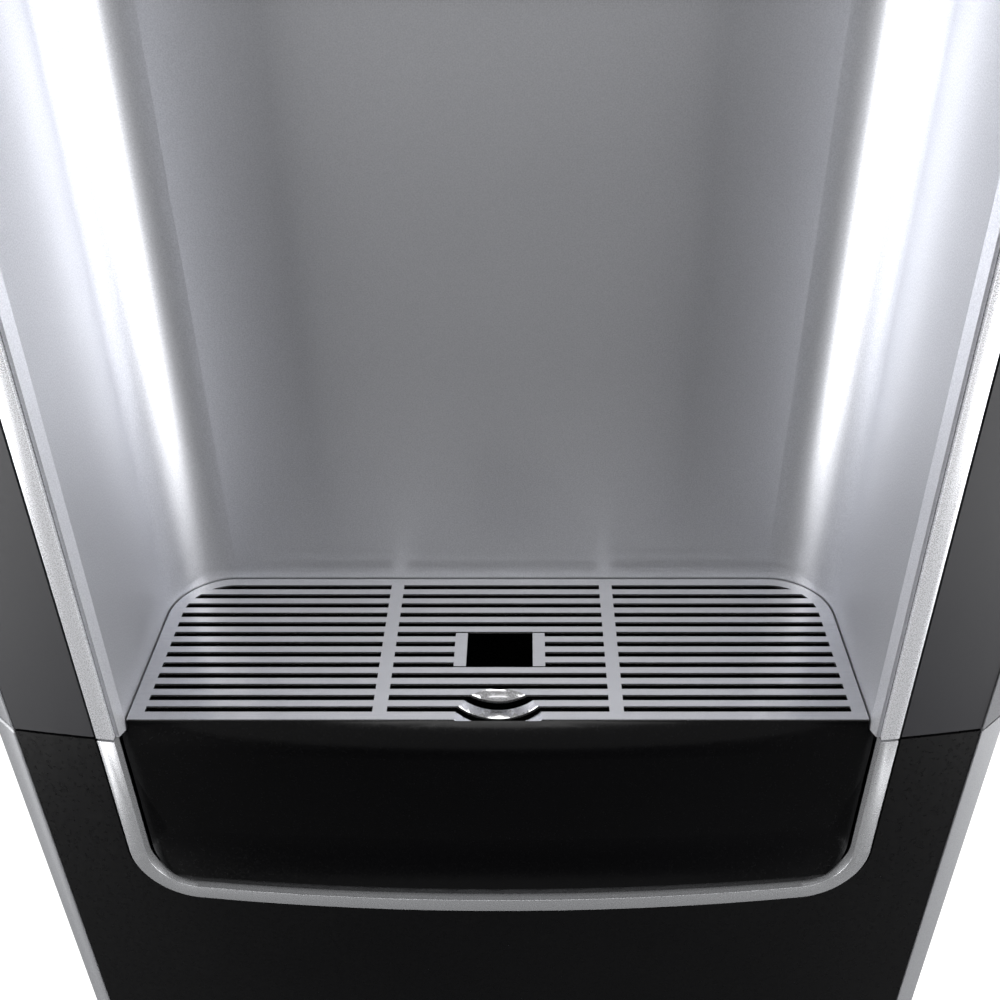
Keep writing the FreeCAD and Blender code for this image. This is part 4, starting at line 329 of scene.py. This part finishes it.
def make_hose():
    first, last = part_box("suction_hose")
    middle = [(first[i] + last[i]) / 2 for i in range(2)]
    outer = (last[0] - first[0]) / 2
    length = last[2] - first[2]
    mesh = tube_mesh("soft_hose", middle, outer, barb_radius + barb_gap, first[2], last[2])
    hose = bpy.data.objects.new("soft_hose", mesh)
    bpy.context.collection.objects.link(hose)
    hose.data.materials.append(finish["tube"])
    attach(hose, "case")
    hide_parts("suction_hose")
    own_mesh(hose)
    return length


print("hose", round(make_hose(), 4), "m long")

# %% [markdown]
# ## Rolled edges
#
# Real mouldings and sheet have edges that catch the light. A weld joins each solid's triangles,
# then a narrow bevel rounds its sharp edges.

# %%
def roll_edges(name, width, segments=2, angle=35.0):
    item = nodes[name]
    weld = item.modifiers.new("weld", "WELD")
    weld.merge_threshold = 0.000002
    edge = item.modifiers.new("edge", "BEVEL")
    edge.width = width
    edge.segments = segments
    edge.limit_method = "ANGLE"
    edge.angle_limit = math.radians(angle)
    edge.harden_normals = True


for name in ("upper_trim", "door_trim"):
    roll_edges(name, width=0.0006, segments=3)
for name in wears["strip"]:
    roll_edges(name, width=0.0012, segments=3, angle=20.0)
roll_edges("drip_grate", width=0.0003)
for name in ("button_hot", "button_room", "button_cold", "base_pan", "child_lock"):
    roll_edges(name, width=0.0004)
print("edges rolled")

# %% [markdown]
# ## Camera
#
# The lens, tilt and small sideways shift come from fitting the grate, trim and strips. The tilt is
# in degrees below the level, lens and sensor are in millimetres.

# %%
sensor_width, lens, tilt, sideways_shift = 36.0, 40.87, 34.15, -0.0261
near_clip, far_clip = 0.01, 50.0

camera = bpy.data.objects.new("camera", bpy.data.cameras.new("camera"))
bpy.context.collection.objects.link(camera)
camera.data.sensor_width = sensor_width
camera.data.lens = lens
camera.data.shift_x = sideways_shift
camera.location = (0.00839, -0.41065, 0.93319)
camera.rotation_euler = (math.radians(90.0 - tilt), 0.0, 0.0)
camera.data.clip_start = near_clip
camera.data.clip_end = far_clip
bpy.context.scene.camera = camera
print("camera at", tuple(round(v, 4) for v in camera.location))

# %% [markdown]
# ## Floor, background and lamps
#
# A plain pale floor that is darker in reflections, a white background, a tall soft lamp on each
# side, one above the front and one behind.

# %%
def make_floor():
    """Pale to the camera, partly by its own light, and dark in reflections."""
    half = 4.0
    reflected, dark, light = [(grey, grey, grey) for grey in (0.05, 0.44, 0.50)]
    glow, cloud_scale, roughness, specular = 0.74, 1.5, 0.8, 0.1
    mesh = bpy.data.meshes.new("floor")
    corners = [(-half, -half, 0.0), (half, -half, 0.0), (half, half, 0.0), (-half, half, 0.0)]
    mesh.from_pydata(corners, [], [(0, 1, 2, 3)])
    floor = bpy.data.objects.new("floor", mesh)
    bpy.context.collection.objects.link(floor)
    material, tree, shader, place = new_material("pale_floor")
    cloud = between(tree, noise(tree, place, cloud_scale, 3.0), noise_band, 0.0, 1.0)
    path = tree.nodes.new("ShaderNodeLightPath")
    seen = path.outputs["Is Camera Ray"]
    colour = tree.nodes.new("ShaderNodeMix")
    colour.data_type = "RGBA"
    colour.inputs["A"].default_value = (*reflected, 1)
    tree.links.new(blend_colours(tree, cloud, dark, light), colour.inputs["B"])
    tree.links.new(seen, colour.inputs["Factor"])
    tree.links.new(colour.outputs["Result"], shader.inputs["Base Color"])
    shader.inputs["Roughness"].default_value = roughness
    shader.inputs["Specular IOR Level"].default_value = specular
    shader.inputs["Emission Color"].default_value = (1, 1, 1, 1)
    tree.links.new(between(tree, seen, full_band, 0.0, glow), shader.inputs["Emission Strength"])
    mesh.materials.append(material)


def make_background(strength):
    """White to the camera and through clear parts, softer as a light."""
    world = bpy.data.worlds.new("studio")
    bpy.context.scene.world = world
    world.use_nodes = True
    tree = world.node_tree
    back = tree.nodes["Background"]
    path = tree.nodes.new("ShaderNodeLightPath")
    seen = tree.nodes.new("ShaderNodeMath")
    seen.operation = "MAXIMUM"
    tree.links.new(path.outputs["Is Camera Ray"], seen.inputs[0])
    tree.links.new(path.outputs["Is Transmission Ray"], seen.inputs[1])
    tree.links.new(between(tree, seen.outputs["Value"], full_band, strength, 1.0),
                   back.inputs["Strength"])
    back.inputs["Color"].default_value = (1, 1, 1, 1)


def soft_lamp(name, place, target, size, power, spread):
    """An area lamp: its size in metres, power in watts and spread in degrees."""
    light = bpy.data.lights.new(name, "AREA")
    light.shape = "RECTANGLE"
    light.size, light.size_y = size
    light.energy = power
    light.spread = math.radians(spread)
    lamp = bpy.data.objects.new(name, light)
    lamp.location = place
    aim = [target[i] - place[i] for i in range(3)]
    lamp.rotation_euler = Vector(aim).to_track_quat("-Z", "Y").to_euler()
    lamp.visible_camera = False
    bpy.context.collection.objects.link(lamp)


make_floor()
make_background(strength=0.3)
for name, side in (("lamp_left", -1), ("lamp_right", 1)):
    soft_lamp(name, place=(side * 0.95, -0.60, 0.70), target=(0, -0.13, 0.70),
              size=(0.95, 1.36), power=12.0, spread=110.0)
soft_lamp("lamp_top", place=(0, -0.9, 2.3), target=(0, -0.1, 0.7),
          size=(1.2, 0.8), power=4.0, spread=100.0)
soft_lamp("lamp_back", place=(0.5, 1.7, 1.2), target=(0, 0.18, 0.55),
          size=(1.6, 1.2), power=14.0, spread=110.0)
bpy.context.scene.view_settings.view_transform = "Standard"
print("stage ready")
